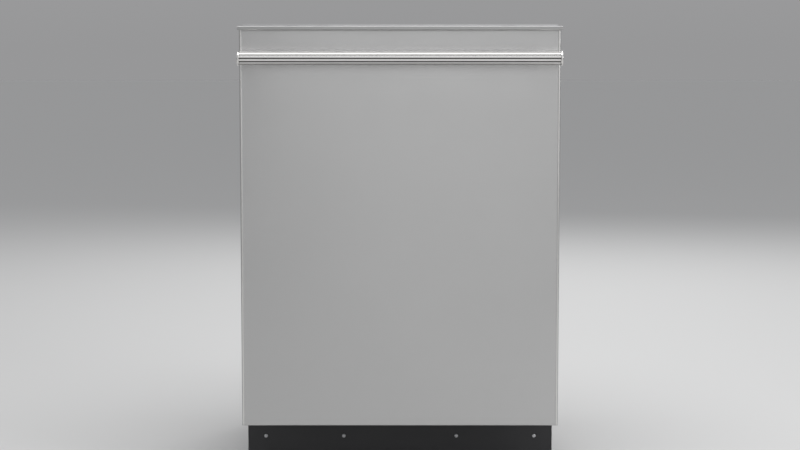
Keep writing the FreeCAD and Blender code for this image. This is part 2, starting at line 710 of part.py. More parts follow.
def handle_end(label, side):
    """A domed disc and the post behind it, cast in one."""
    body = new_body(label)
    disc = new_sketch(body, "YZ", f"{side} * bar_length / 2")
    circle(disc, ("0", "0"), "end_radius")
    pad(body, disc, "end_thick", reverse=side < 0)
    outer = side * (dim("bar_length") / 2 + dim("end_thick"))
    round_edges(body, "end_round", lambda e: abs(middle_of(e).x - outer) < NEAR)
    post = new_sketch(body, "YZ", f"{side} * bar_length / 2")
    rectangle(post, ("post_start", "-post_height / 2"), ("handle_reach - post_start", "post_height"))
    pad(body, post, "post_width", reverse=side > 0)
    inner = side * (dim("bar_length") / 2 - dim("post_width"))
    round_edges(body, "post_round", lambda e: runs_along(e, "y") and abs(middle_of(e).x - inner) < NEAR)
    saddle = new_sketch(body, "YZ", f"{side} * bar_length / 2")
    circle(saddle, ("0", "0"), "bar_radius")
    pocket(body, saddle, "post_width", reverse=side < 0)
    at_bar(body)


# ---- door: inner pieces ----

def door_liner():
    body = new_body("door_liner")
    face = new_sketch(body, "XZ", "liner_face")
    rectangle(face, ("-liner_width / 2", "liner_base"), ("liner_width", "liner_height"))
    pad(body, face, "liner_depth")
    hollow = new_sketch(body, "XZ", "liner_face + liner_depth")
    rectangle(hollow, ("liner_sheet - liner_width / 2", "liner_base + liner_sheet"),
              ("liner_width - 2 * liner_sheet", "liner_height - 2 * liner_sheet"))
    pocket(body, hollow, "liner_depth - liner_sheet")
    hatch = new_sketch(body, "XZ", "liner_face + liner_depth")
    rectangle(hatch, ("-dispenser_left - cover_gap", "dispenser_base - cover_gap"),
              ("dispenser_width + 2 * cover_gap", "dispenser_height + 2 * cover_gap"))
    pocket(body, hatch, "liner_depth")


def door_seal():
    node(middle_box("door_seal_strip", ("seal_width", "seal_depth", "seal_height"),
                    ("0", "-liner_face", "seal_base")), "door_seal")


def control_fascia():
    shell = middle_box("fascia_block", ("fascia_width", "fascia_front - fascia_back", "fascia_height"),
                       ("0", "-fascia_front", "fascia_base"))
    inside = middle_box("fascia_inside", ("fascia_width - 2 * fascia_wall",
                                          "fascia_front - fascia_back - 2 * fascia_wall", "fascia_height"),
                        ("0", "fascia_wall - fascia_front", "fascia_base + fascia_wall"))
    bay = middle_box("fascia_latch_bay", ("2 * latch_half + 4 * cover_gap", "fascia_front", "fascia_height"),
                     ("0", "-fascia_front - fascia_wall", "latch_base - cover_gap"))
    node(cut("fascia_shell", shell, inside, bay), "control_fascia")


def control_board():
    plate = box("board_plate", ("board_length", "board_width", "board_thick"),
                ("board_start", "board_inset - fascia_front", "board_base"))
    parts = [plate]
    for number in range(number_of("chip_count")):
        height = CHIP_HEIGHTS[number % len(CHIP_HEIGHTS)]
        parts.append(box(f"board_part_{number}", ("chip_length", "chip_width", height),
                         (f"chip_start + {number} * chip_pitch", "-chip_front", "board_base + board_thick")))
    node(fused("board_assembly", *parts), "control_board")


def latch_case():
    block = middle_box("latch_block", ("2 * latch_half", "latch_front - latch_back", "latch_height"),
                       ("0", "-latch_front", "latch_base"))
    mouth = middle_box("latch_mouth", ("2 * mouth_half", "mouth_depth + tool_reach", "mouth_height"),
                       ("0", "-latch_back - mouth_depth", "mouth_base"))
    pin = cylinder("latch_pin", "claw_pin", "2 * mouth_half",
                   ("-mouth_half", "-claw_pivot_line", "claw_pivot_height"), "x")
    node(fused("latch_body", cut("latch_shell", block, mouth), pin), "latch_case")


def latch_claw():
    length = "2 * claw_half"
    eye = cylinder("claw_eye_boss", "claw_boss", length,
                   ("-claw_half", "-claw_pivot_line", "claw_pivot_height"), "x")
    arm = middle_box("claw_arm", (length, "claw_reach", "claw_arm"),
                     ("0", "-claw_pivot_line", "claw_pivot_height - claw_drop"))
    bore = cylinder("claw_bore", "claw_eye", "2 * claw_half + 2 * tool_reach",
                    ("-claw_half - tool_reach", "-claw_pivot_line", "claw_pivot_height"), "x")
    node(cut("claw_body", fused("claw_blank", eye, arm), bore), "latch_claw")


def latch_strike():
    tip = ("-strike_half", "-strike_tip", "strike_height")
    parts = [cylinder("strike_bar", "strike_radius", "2 * strike_half", tip, "x")]
    for side in (-1, 1):
        parts.append(cylinder("strike_prong", "strike_radius", "strike_tip - strike_root + strike_overlap",
                              (f"{side} * strike_half", "-strike_tip", "strike_height"), "y"))
    parts.append(middle_box("strike_plate", ("4 * strike_half", "strike_plate_depth", "strike_plate_height"),
                            ("0", "-strike_root", "strike_plate_base")))
    node(fused("strike_loop", *parts), "latch_strike")


def dispenser_case():
    block = box("dispenser_block",
                ("dispenser_width", "dispenser_front - dispenser_proud", "dispenser_height"),
                ("-dispenser_left", "-dispenser_front", "dispenser_base"))
    cup = box("dispenser_cup", ("cup_width", "cup_depth", "cup_height"),
              ("-cup_left", "-dispenser_proud - cup_depth", "cup_base"))
    filler = cylinder("dispenser_filler", "rinse_bore", "cup_depth",
                      ("rinse_centre", "-dispenser_proud - cup_depth", "rinse_height"), "y")
    node(cut("dispenser_shell", block, cup, filler), "dispenser_case")


def detergent_lid():
    plate = box("lid_plate", ("cup_width + 2 * lid_border", "lid_thick", "cup_height + 2 * lid_border"),
                ("-cup_left - lid_border", "-dispenser_proud", "cup_base - lid_border"))
    grip = box("lid_grip", ("cup_width", "lid_thick", "lid_grip"),
               ("-cup_left", "lid_thick - dispenser_proud - sink", "cup_base + lid_border"))
    node(fused("lid_body", plate, grip), "detergent_lid")


def rinse_cap():
    disc = cylinder("rinse_disc", "rinse_radius", "rinse_thick",
                    ("rinse_centre", "-dispenser_proud", "rinse_height"), "y")
    grip = box("rinse_handle", ("rinse_grip", "rinse_thick + rinse_grip_proud", "rinse_grip_width"),
               ("rinse_centre - rinse_grip / 2", "-dispenser_proud", "rinse_height - rinse_grip_width / 2"))
    node(fused("rinse_body", disc, grip), "rinse_cap")


# ---- hinges ----

def side_low(side, inner, thick):
    """Low x of a plate that lies between inner and inner + thick on one side of the machine."""
    return inner if side > 0 else f"-({inner}) - ({thick})"


def hinge_arms():
    arms = []
    for side in (-1, 1):
        low = side_low(side, "arm_side", "arm_thick")
        strap = box("arm_strap", ("arm_thick", "arm_depth", "arm_top - arm_base"),
                    (low, "arm_inset - fascia_front", "arm_base"))
        lug = box("arm_lug", ("arm_thick", "fascia_front - arm_inset - hinge_line", "2 * arm_boss"),
                  (low, "arm_inset - fascia_front", "hinge_height - arm_boss"))
        boss = cylinder("arm_boss_disc", "arm_boss", "arm_thick", (low, "-hinge_line", "hinge_height"), "x")
        tail = box("arm_tail", ("arm_thick", "tail_length", "tail_height"),
                   (low, "-hinge_line", "spring_height - hook_radius"))
        eye = cylinder("arm_eye", "hinge_eye", "3 * arm_thick",
                       (f"{low} - arm_thick", "-hinge_line", "hinge_height"), "x")
        arms.append(cut("arm_plate", fused("arm_blank", strap, lug, boss, tail), eye))
    node(group("arm_pair", *arms), "hinge_arms")


def hinge_brackets():
    pair = []
    for side in (-1, 1):
        low = side_low(side, "bracket_side", "bracket_thick")
        reach = box("bracket_reach", ("bracket_thick", "hinge_line - bracket_end", "2 * bracket_boss"),
                    (low, "-hinge_line", "hinge_height - bracket_boss"))
        boss = cylinder("bracket_disc", "bracket_boss", "bracket_thick", (low, "-hinge_line", "hinge_height"),
                        "x")
        foot = box("bracket_foot", ("bracket_thick", "bracket_foot_depth", "bracket_foot_height"),
                   (low, "-bracket_foot_front", "bracket_foot_base"))
        pin_low = side_low(side, "bracket_side + bracket_thick - sink", "pin_length")
        pin = cylinder("bracket_pin", "hinge_pin", "pin_length", (pin_low, "-hinge_line", "hinge_height"),
                       "x")
        pair.append(fused("bracket_plate", reach, boss, foot, pin))
    node(group("bracket_pair", *pair), "hinge_brackets")


def door_springs():
    pair = []
    for side in (-1, 1):
        centre = f"{side} * spring_side"
        coils = cylinder("spring_coils", "spring_radius", "spring_length",
                         (centre, "-spring_start", "spring_height"), "y")
        hook = cylinder("spring_hook", "hook_radius", "hook_length + 2 * sink",
                        (centre, "-spring_start - hook_length", "spring_height"), "y")
        pair.append(fused("spring_body", coils, hook))
    node(group("spring_pair", *pair), "door_springs")


# ---- tub ----

def tub_wrap():
    body = new_body("tub_wrap")
    section = new_sketch(body, "XZ", "tub_front")
    outer = "tub_half + sheet"
    outline(section, [(f"-({outer})", "tub_floor_top"), ("-tub_half", "tub_floor_top"),
                      ("-tub_half", "tub_ceiling"), ("tub_half", "tub_ceiling"),
                      ("tub_half", "tub_floor_top"), (outer, "tub_floor_top"), (outer, "tub_ceiling + sheet"),
                      (f"-({outer})", "tub_ceiling + sheet")])
    pad(body, section, "tub_front + tub_rear", reverse=True)
    inside = dim("tub_ceiling")
    round_edges(body, "tub_corner",
                lambda e: runs_along(e, "y") and abs(middle_of(e).z - inside) < NEAR)
    outside = dim("tub_ceiling") + dim("sheet")
    round_edges(body, "tub_corner + sheet",
                lambda e: runs_along(e, "y") and abs(middle_of(e).z - outside) < NEAR
                and abs(middle_of(e).x) > dim("tub_half"))


def tub_back_wall():
    node(middle_box("back_wall_plate", ("2 * tub_half + 2 * sheet", "sheet", "tub_ceiling - tub_floor_top"),
                    ("0", "tub_rear", "tub_floor_top")), "tub_back_wall")


def tub_floor():
    plate = middle_box("floor_plate", ("2 * tub_half", "tub_front + tub_rear", "floor_thick"),
                       ("0", "-tub_front", "tub_floor_top - floor_thick"))
    tracks = []
    for side in (-1, 1):
        tracks.append(box("floor_track", ("track_width", "track_length", "track_height + 2 * sink"),
                          (side_low(side, "track_inner", "track_width"), "-track_front",
                           "tub_floor_top - 2 * sink")))
    mouth = cylinder("floor_mouth", "sump_radius", "4 * tool_reach",
                     ("0", "sump_line", "tub_floor_top - 2 * tool_reach"))
    port = cylinder("floor_port", "hose_radius + 2 * cover_gap", "4 * tool_reach",
                    ("0", "riser_line", "tub_floor_top - 2 * tool_reach"))
    node(cut("floor_pan", fused("floor_blank", plate, *tracks), mouth, port), "tub_floor")


def tub_gasket():
    outer = middle_box("gasket_block", ("2 * (tub_half + gasket_width)", "gasket_thick",
                                        "tub_ceiling + gasket_width - frame_foot"),
                       ("0", "-tub_front - sheet - gasket_thick", "frame_foot"))
    inner = middle_box("gasket_inside", ("2 * tub_half", "3 * gasket_thick",
                                         "tub_ceiling - frame_foot + 2 * tool_reach"),
                       ("0", "-tub_front - sheet - 2 * gasket_thick", "frame_foot - 2 * tool_reach"))
    node(cut("gasket_ring", outer, inner), "tub_gasket")


def front_frame():
    plate = middle_box("frame_plate", ("2 * frame_half", "sheet", "unit_height - frame_foot"),
                       ("0", "-tub_front - sheet", "frame_foot"))
    window = middle_box("frame_window", ("2 * tub_half", "3 * sheet",
                                         "tub_ceiling - frame_foot + 2 * tool_reach"),
                        ("0", "-tub_front - 2 * sheet", "frame_foot - 2 * tool_reach"))
    sill = middle_box("frame_sill", ("2 * tub_half", "sheet", "sill_top - sill_base"),
                      ("0", "-tub_front - sheet", "sill_base"))
    ledge = middle_box("frame_ledge", ("2 * frame_half", "ledge_depth", "sheet"),
                       ("0", "-tub_front", "unit_height - sheet"))
    pieces = [cut("frame_ring", plate, window), ledge]
    for side in (-1, 1):
        link = box("frame_link_bar", ("sheet", "sheet", "frame_link"),
                   (side_low(side, "tub_half - sheet", "sheet"), "-tub_front - sheet", "sill_base"))
        tab = middle_box("frame_tab", ("tab_length", "tab_depth", "2 * sheet"),
                         (f"{side} * tab_centre", "-tub_front", "unit_height - 2 * sheet"))
        hole = cylinder("tab_hole_cutter", "tab_hole", "4 * tool_reach",
                        (f"{side} * tab_centre", "tab_depth - tab_hole_inset - tub_front",
                         "unit_height - 2 * tool_reach"))
        foot = box("frame_foot_block", ("frame_foot_width", "sheet", "frame_foot_height"),
                   (side_low(side, "tub_half - frame_foot_width / 2", "frame_foot_width"),
                    "-tub_front - sheet", "frame_foot - frame_foot_height / 2"))
        pieces += [link, foot, cut("tab_drilled", tab, hole)]
    node(fused("frame_body", sill, *pieces), "front_frame")


def sound_blanket():
    length = "felt_back - cover_gap + felt_front"
    top = middle_box("felt_top_pad", ("2 * (felt_side + felt_side_thick)", length, "felt"),
                     ("0", "-felt_front", "felt_top"))
    pads = [top]
    for side in (-1, 1):
        pads.append(box("felt_side_pad", ("felt_side_thick", length, "felt_top - felt_base + 2 * sink"),
                        (side_low(side, "felt_side", "felt_side_thick"), "-felt_front", "felt_base")))
    pads.append(middle_box("felt_rear_pad", ("2 * (felt_side + felt_side_thick)", "rear_face - felt_back",
                                             "felt_top - felt_base + felt"), ("0", "felt_back", "felt_base")))
    pads.append(middle_box("felt_join", ("2 * (felt_side + felt_side_thick)", "2 * sink", "felt"),
                           ("0", "felt_back - 2 * sink", "felt_top")))
    window = box("felt_window", ("3 * felt_side_thick", "break_depth", "break_height"),
                 ("-felt_side - 2 * felt_side_thick", "-break_front", "break_base"))
    node(cut("felt_wrap", fused("felt_blank", *pads), window), "sound_blanket")


def air_break():
    block = box("break_block", ("break_thick", "break_depth - 4 * cover_gap", "break_height - 4 * cover_gap"),
                ("-break_side - break_thick", "2 * cover_gap - break_front", "break_base + 2 * cover_gap"))
    grooves = []
    for number in range(number_of("channel_count")):
        size = ("channel_depth + tool_reach", "break_depth - 2 * channel_margin", "channel_height")
        grooves.append(box("break_groove", size,
                           ("-break_side - break_thick - tool_reach", "channel_margin - break_front",
                            f"break_base + channel_start + {number} * channel_pitch")))
    node(cut("break_body", block, *grooves), "air_break")


# ---- base ----

def base_tray():
    block = middle_box("base_block", ("2 * base_half", "base_front + base_rear", "base_top - base_bottom"),
                       ("0", "-base_front", "base_bottom"))
    inside = middle_box("base_inside",
                        ("2 * (base_half - base_wall)", "base_front + base_rear - 2 * base_wall", "base_top"),
                        ("0", "base_wall - base_front", "base_bottom + base_wall"))
    front = middle_box("base_front_window", ("base_window", "4 * tool_reach", "base_top"),
                       ("0", "-base_front - tool_reach", "base_window_base"))
    tools = [inside, front]
    bosses = []
    for side in (-1, 1):
        for line in ("-foot_front", "foot_rear"):
            bosses.append(cylinder("base_foot_boss", "foot_hole + base_wall", "base_boss",
                                   (f"{side} * foot_side", line, "base_bottom")))
            tools.append(cylinder("base_foot_hole", "foot_hole", "base_top",
                                  (f"{side} * foot_side", line, "0")))
    tools.append(box("base_stub_window", ("stub_window_width", "4 * base_wall", "stub_window_height"),
                     ("-stub_window_left", "base_rear - 2 * base_wall", "stub_window_base")))
    shell = cut("base_shell", block, inside, front)
    node(cut("base_drilled", fused("base_bossed", shell, *bosses), *tools[2:]), "base_tray")


def toe_kick():
    body = new_body("toe_kick")
    section = new_sketch(body, "YZ")
    outline(section, [("-toe_front", "toe_base"), ("toe_fold - toe_front", "toe_base"),
                      ("toe_fold - toe_front", "toe_base + sheet"), ("sheet - toe_front", "toe_base + sheet"),
                      ("sheet - toe_front", "toe_base + toe_height"),
                      ("-toe_front", "toe_base + toe_height")])
    pad(body, section, "2 * frame_half", both=True)


def foot(label, side, line):
    body = new_body(label)
    sole = new_sketch(body, "XY")
    circle(sole, ("0", "0"), "foot_pad")
    pad(body, sole, "foot_pad_height")
    stud = new_sketch(body, "XY")
    circle(stud, ("0", "0"), "foot_stud")
    pad(body, stud, "foot_height")
    flat = new_sketch(body, "XY")
    rectangle(flat, ("foot_pad - foot_notch", "-foot_pad"), ("2 * foot_notch", "2 * foot_pad"))
    notch = pocket(body, flat, "foot_pad_height", reverse=True)
    ring_pattern(body, [notch], "Z", "foot_notches")
    place(body, (f"{side} * foot_side", line, "0"))


# ---- pumps and water ----

def sump():
    low = ("0", "sump_line", "sump_base")
    outer = cylinder("sump_outer", "sump_radius + sump_wall", "base_top - sump_base", low)
    inner = cylinder("sump_inner", "sump_radius", "base_top", ("0", "sump_line", "sump_base + sump_wall"))
    post = cylinder("sump_post", "arm_post", "arm_post_top - sump_base", low)
    collar = cylinder("sump_collar", "arm_spigot", "collar_height",
                      ("0", "sump_line", "arm_post_top - 2 * sink"))
    node(fused("sump_body", cut("sump_bowl", outer, inner), post, collar), "sump")


def filter_plate():
    body = new_body("filter_plate")
    disc = new_sketch(body, "XY")
    circle(disc, ("0", "0"), "plate_radius")
    pad(body, disc, "plate_thick")
    openings = ((("0", "0"), "arm_post + cover_gap"),
                (("filter_side", "-filter_front"), "filter_radius + cover_gap"))
    for centre, radius in openings:
        opening = new_sketch(body, "XY")
        circle(opening, centre, radius)
        pocket(body, opening, "plate_thick", reverse=True)
    hole = new_sketch(body, "XY")
    circle(hole, ("plate_radius - mesh_inset", "0"), "mesh_radius")
    drain = pocket(body, hole, "plate_thick", reverse=True)
    ring_pattern(body, [drain], "Z", "mesh_count")
    place(body, ("0", "sump_line", "plate_base"))


def filter_cup():
    at = ("filter_side", "sump_line - filter_front", "filter_base")
    outer = cylinder("filter_outer", "filter_radius", "filter_top - filter_base", at)
    inner = cylinder("filter_inner", "filter_radius - filter_wall", "filter_top",
                     (at[0], at[1], "filter_base + filter_wall"))
    grip = middle_box("filter_bar", ("2 * filter_radius - filter_wall", "filter_grip", "filter_grip_height"),
                      (at[0], f"{at[1]} - filter_grip / 2", "filter_top - filter_grip_height / 2"))
    node(fused("filter_body", cut("filter_shell", outer, inner), grip), "filter_cup")


def wash_pump():
    start = ("pump_start", "sump_line", "pump_height")
    motor = cylinder("pump_motor", "motor_radius", "pump_length", start, "x")
    volute = cylinder("pump_volute", "pump_radius", "volute_length", start, "x")
    outlet = cylinder("pump_outlet", "hose_radius", "outlet_length",
                      ("hose_side", "sump_line", "hose_height"), "y")
    node(fused("pump_body", motor, volute, outlet), "wash_pump")


def drain_pump():
    motor = cylinder("drain_motor", "drain_radius", "drain_length",
                     ("-drain_start - drain_length", "sump_line", "drain_height"), "x")
    pipe = cylinder("drain_pipe", "drain_pipe_radius", "stub_root - sump_line + stub_overlap",
                    ("-drain_stub_side", "sump_line", "inlet_height"), "y")
    stub = cylinder("drain_stub", "drain_stub_radius", "stub_tip - stub_root",
                    ("-drain_stub_side", "stub_root", "inlet_height"), "y")
    node(fused("drain_body", motor, pipe, stub), "drain_pump")


def pump_hose():
    """Level run from the pump, round to the middle at the back, and up to the riser."""
    side, rear, level = dim("hose_side"), dim("riser_line"), dim("hose_height")
    start = dim("sump_line") + dim("outlet_length")
    bend, top = dim("hose_bend"), dim("tub_floor_top")
    radius = dim("hose_radius")
    diagonal = bend * (1 - math.sqrt(0.5))
    spots = [Vector(side, start, level), Vector(side, rear - bend, level),
             Vector(side - diagonal, rear - diagonal, level), Vector(side - bend, rear, level),
             Vector(bend, rear, level), Vector(diagonal, rear, level + diagonal),
             Vector(0, rear, level + bend), Vector(0, rear, top)]
    route = Part.Wire([
        Part.LineSegment(spots[0], spots[1]).toShape(), Part.Arc(*spots[1:4]).toShape(),
        Part.LineSegment(spots[3], spots[4]).toShape(), Part.Arc(*spots[4:7]).toShape(),
        Part.LineSegment(spots[6], spots[7]).toShape()])
    section = Part.Wire(Part.Circle(spots[0], Vector(0, 1, 0), radius).toShape())
    tube = route.makePipeShell([section], True, True)
    expected = math.pi * radius ** 2 * route.Length
    if abs(tube.Volume - expected) > SWEEP_SLACK * expected:
        raise RuntimeError("pump_hose: volume differs from section times length")
    hose = doc.addObject("Part::Feature", "pump_hose")
    hose.Shape = tube
    node(hose, "pump_hose")


def riser_tube():
    rise = "riser_top - tub_floor_top"
    outer = [cylinder("riser_pipe", "riser_radius", rise, ("0", "riser_line", "tub_floor_top")),
             cylinder("riser_branch", "riser_radius", "riser_line - sump_line",
                      ("0", "sump_line", "riser_top"), "y"),
             cylinder("riser_hub_disc", "riser_hub", "2 * riser_radius",
                      ("0", "sump_line", "riser_top - riser_radius")),
             cylinder("riser_elbow", "riser_radius", "2 * riser_radius",
                      ("0", "riser_line", "riser_top - riser_radius")),
             cylinder("riser_post", "arm_spigot", "riser_post_length", ("0", "sump_line", "riser_post_base"))]
    bore = cylinder("riser_bore_cutter", "riser_bore", rise, ("0", "riser_line", "tub_floor_top - 2 * sink"))
    node(cut("riser_body", fused("riser_blank", *outer), bore), "riser_tube")


def inlet_valve():
    block = middle_box("inlet_block", ("inlet_width", "inlet_depth", "inlet_width"),
                       ("-inlet_side", "stub_root - inlet_depth", "inlet_height - inlet_width / 2"))
    coil = cylinder("inlet_coil", "coil_radius", "coil_height",
                    ("-inlet_side", "stub_root - inlet_depth / 2",
                     "inlet_height + inlet_width / 2 - stub_overlap"))
    stub = cylinder("inlet_stub", "inlet_radius", "stub_tip - stub_root + stub_overlap",
                    ("-inlet_side", "stub_root - stub_overlap", "inlet_height"), "y")
    node(fused("inlet_body", block, coil, stub), "inlet_valve")


def junction_box():
    block = box("junction_block", ("junction_size", "junction_depth", "junction_height"),
                ("junction_side", "-junction_front", "junction_base"))
    inside = box("junction_inside",
                 ("junction_size - 2 * junction_wall", "junction_depth - 2 * junction_wall",
                  "junction_height - 2 * junction_wall"),
                 ("junction_side + junction_wall", "junction_wall - junction_front",
                  "junction_base + junction_wall"))
    hole = cylinder("junction_hole", "knockout", "4 * tool_reach",
                    ("junction_side - 2 * tool_reach", "junction_depth / 2 - junction_front",
                     "junction_base + junction_height / 2"), "x")
    node(cut("junction_shell", block, inside, hole), "junction_box")


# ---- spray arms ----

def spray_arm(label, radius, low):
    """A flat blade with a hub; two rows of spray holes on its top face."""
    body = new_body(label)
    blade = new_sketch(body, "XY")
    rectangle(blade, (f"-({radius})", "-arm_width / 2"), (f"2 * {radius}", "arm_width"))
    pad(body, blade, "arm_blade")
    round_edges(body, "arm_corner", lambda e: runs_along(e, "z"))
    hub = new_sketch(body, "XY")
    circle(hub, ("0", "0"), "arm_hub")
    pad(body, hub, "hub_height")
    bore = new_sketch(body, "XY")
    circle(bore, ("0", "0"), "arm_bore")
    pocket(body, bore, "hub_height + tool_reach", reverse=True)
    for number in range(number_of("jet_count")):
        for side in (-1, 1):
            row = side * (-1) ** number
            jet = new_sketch(body, "XY")
            circle(jet, (f"{side} * {radius} * (jet_start + {number} * jet_pitch)", f"{row} * jet_side"),
                   "nozzle_radius")
            pocket(body, jet, "arm_blade", reverse=True)
    place(body, ("0", "sump_line", low))


# ---- racks ----

def straight_wire(start, end):
    way = Vector(*end) - Vector(*start)
    return Part.makeCylinder(dim("wire") / 2, way.Length, Vector(*start), way)


def welded(wires):
    return wires[0].multiFuse(wires[1:]).removeSplitter()


def evenly(low, high, count):
    return [low + (high - low) * i / (count - 1) for i in range(count)]


def wire_mat(corner, along, across, long_count, cross_count, layer):
    """A flat welded mat: wires along one edge laid on wires along the other."""
    corner, along, across = Vector(*corner), Vector(*along), Vector(*across)
    lift = Vector(*layer) * dim("wire") * dim("weld")
    wires = []
    for share in evenly(0, 1, long_count):
        start = corner + across * share
        wires.append(straight_wire(start, start + along))
    for share in evenly(0, 1, cross_count):
        start = corner + along * share + lift
        wires.append(straight_wire(start, start + across))
    return welded(wires)


def rack_basket(half, front, rear, floor, rim):
    """Floor and four walls, each a mat of its own, a little apart at the corners."""
    wire = dim("wire")
    deep, wide, tall = rear - front, 2 * half, rim - floor
    gap = 2 * wire
    long, cross = number_of("floor_long"), number_of("floor_cross")
    uprights, rails = number_of("wall_uprights"), number_of("wall_rails")
    up, span = (0, 0, tall - gap), (wide - 2 * gap, 0, 0)
    mats = [wire_mat((-half + gap, front + gap, floor), (0, deep - 2 * gap, 0), span, long, cross, (0, 0, 1))]
    for side in (-1, 1):
        mats.append(wire_mat((side * half, front, floor + gap), up, (0, deep, 0), uprights, rails,
                             (side, 0, 0)))
    for line, outward in ((front, -1), (rear, 1)):
        mats.append(wire_mat((-half + gap, line, floor + gap), up, span, uprights, rails, (0, outward, 0)))
    return mats


def feature(label, solids):
    obj = doc.addObject("Part::Feature", label)
    obj.Shape = solids[0] if len(solids) == 1 else Part.makeCompound(solids)
    return node(obj, label)


def lower_rack():
    solids = rack_basket(dim("rack_half"), -dim("rack_front"), dim("rack_rear"), dim("rack_floor"),
                         dim("rack_rim"))
    for side in (-1, 1):
        for line in (-dim("wheel_front"), dim("wheel_rear")):
            solids.append(wheel_bracket(side, line))
    feature("lower_rack", solids)


def low_x(side, inner, thick):
    """The same as side_low, worked out as a number."""
    return inner if side > 0 else -inner - thick


def wheel_bracket(side, line):
    """A plastic plate clipped on the side wires, with the axle of one wheel."""
    inner, thick, width = dim("rack_half") - dim("clip_inset"), dim("clip_thick"), dim("clip_width")
    height, middle = dim("wheel_height"), inner + thick / 2
    foot_height, top = height - dim("clip_drop"), dim("rack_floor") + dim("clip_rise")
    plate = Part.makeBox(thick, width, top - foot_height,
                         Vector(low_x(side, inner, thick), line - width / 2, foot_height))
    reach = dim("wheel_side") + dim("wheel_width") + dim("axle_end") - middle
    start = Vector(side * middle, line, height)
    axle = Part.makeCylinder(dim("axle_radius"), reach, start, Vector(side, 0, 0))
    return plate.fuse(axle)


def wheel_pair(label, line):
    pair = []
    for side in (-1, 1):
        low = side_low(side, "wheel_side", "wheel_width")
        disc = cylinder("wheel_disc", "wheel_radius", "wheel_width", (low, line, "wheel_height"), "x")
        bore = cylinder("wheel_bore_cutter", "wheel_bore", "3 * wheel_width",
                        (f"{low} - wheel_width", line, "wheel_height"), "x")
        pair.append(cut("wheel_body", disc, bore))
    node(group(label + "_pair", *pair), label)


def tine_row(label, side):
    centre, base, length = side * dim("tine_side"), dim("tine_base"), dim("tine_length")
    pitch, count, rod_end = dim("tine_pitch"), number_of("tine_count"), dim("tine_rod_end")
    first = (dim("rack_rear") - dim("rack_front")) / 2 - pitch * (count - 1) / 2
    last = first + pitch * (count - 1)
    wires = [straight_wire((centre, first - rod_end, base), (centre, last + rod_end, base))]
    for line in evenly(first, last, count):
        wires.append(straight_wire((centre, line, base - dim("sink")), (centre, line, base + length)))
    feature(label, [welded(wires)])


def upper_rack():
    front, rear = dim("upper_front"), dim("upper_rear")
    solids = rack_basket(dim("upper_half"), -front, rear, dim("upper_floor"), dim("upper_rim"))
    depth, gap, share = front + rear, dim("cover_gap"), dim("hanger_share")
    thick, inner, hanger_thick = dim("runner_thick"), dim("runner_side"), dim("hanger_thick")
    hanger_inner = inner + dim("hanger_inset")
    for side in (-1, 1):
        runner = Part.makeBox(thick, depth, dim("slide_height") - 2 * gap,
                              Vector(low_x(side, inner, thick), -front, dim("slide_base") + gap))
        hanger = Part.makeBox(hanger_thick, depth * share, dim("hanger_height"),
                              Vector(low_x(side, hanger_inner, hanger_thick), depth * (1 - share) / 2 - front,
                                     dim("slide_base") + dim("hanger_rise")))
        solids.append(runner.fuse(hanger))
    feature("upper_rack", solids)


def upper_manifold():
    height, line, tip = dim("manifold_height"), dim("sump_line"), dim("manifold_tip")
    tube = Part.makeCylinder(dim("manifold_radius"), dim("upper_rear") - line, Vector(0, line, height),
                             Vector(0, 1, 0))
    drop = Part.makeCylinder(dim("arm_spigot"), height - tip, Vector(0, line, tip))
    feature("upper_manifold", [tube.fuse(drop)])


def fixed_rails():
    pieces = []
    for side in (-1, 1):
        low = side_low(side, "rail_side", "rail_thick")
        outer = box("rail_channel", ("rail_thick", "rail_length", "rail_height"),
                    (low, "-rail_front", "rail_base"))
        inner = box("rail_groove",
                    ("rail_thick", "rail_length + 2 * tool_reach", "rail_height - 2 * rail_web"),
                    (side_low(side, "rail_side - rail_web", "rail_thick"), "-rail_front - tool_reach",
                     "rail_base + rail_web"))
        pieces.append(cut("rail_body", outer, inner))
        shelf = box("tray_rail_bar", ("rail_thick + tray_rail", "rail_length", "tray_rail"),
                    (side_low(side, "rail_side - tray_rail", "rail_thick + tray_rail"), "-rail_front",
                     "tray_rail_base"))
        pieces.append(shelf)
    node(group("rail_set", *pieces), "fixed_rails")


def middle_rails():
    pieces = []
    for side in (-1, 1):
        pieces.append(box("slide_bar", ("slide_thick", "slide_length", "slide_height"),
                          (side_low(side, "slide_side", "slide_thick"), "-rail_front", "slide_base")))
    node(group("slide_pair", *pieces), "middle_rails")


def cup_shelf(label, side):
    """A louvred plastic shelf that folds up against the rack's side."""
    body = doc.addObject("PartDesign::Body", f"{label}_plate")
    plate = new_sketch(body, "XY")
    rectangle(plate, ("0" if side < 0 else "-shelf_reach", "0"), ("shelf_reach", "shelf_length"))
    pad(body, plate, "shelf_thick")
    root = "louvre_root" if side < 0 else "louvre_tip - shelf_reach"
    for number in range(number_of("louvre_count")):
        slot = new_sketch(body, "XY")
        rectangle(slot, (root, f"louvre_start + {number} * louvre_pitch"),
                  ("shelf_reach - louvre_root - louvre_tip", "louvre_length"))
        pocket(body, slot, "shelf_thick", reverse=True)
    place(body, (f"{side} * shelf_side", "-shelf_front", "shelf_axis"))
    pin = cylinder("shelf_pin", "shelf_pin_radius", "shelf_length",
                   (f"{side} * shelf_side", "-shelf_front", "shelf_axis"), "y")
    node(fused("shelf_moulding", body, pin), label)


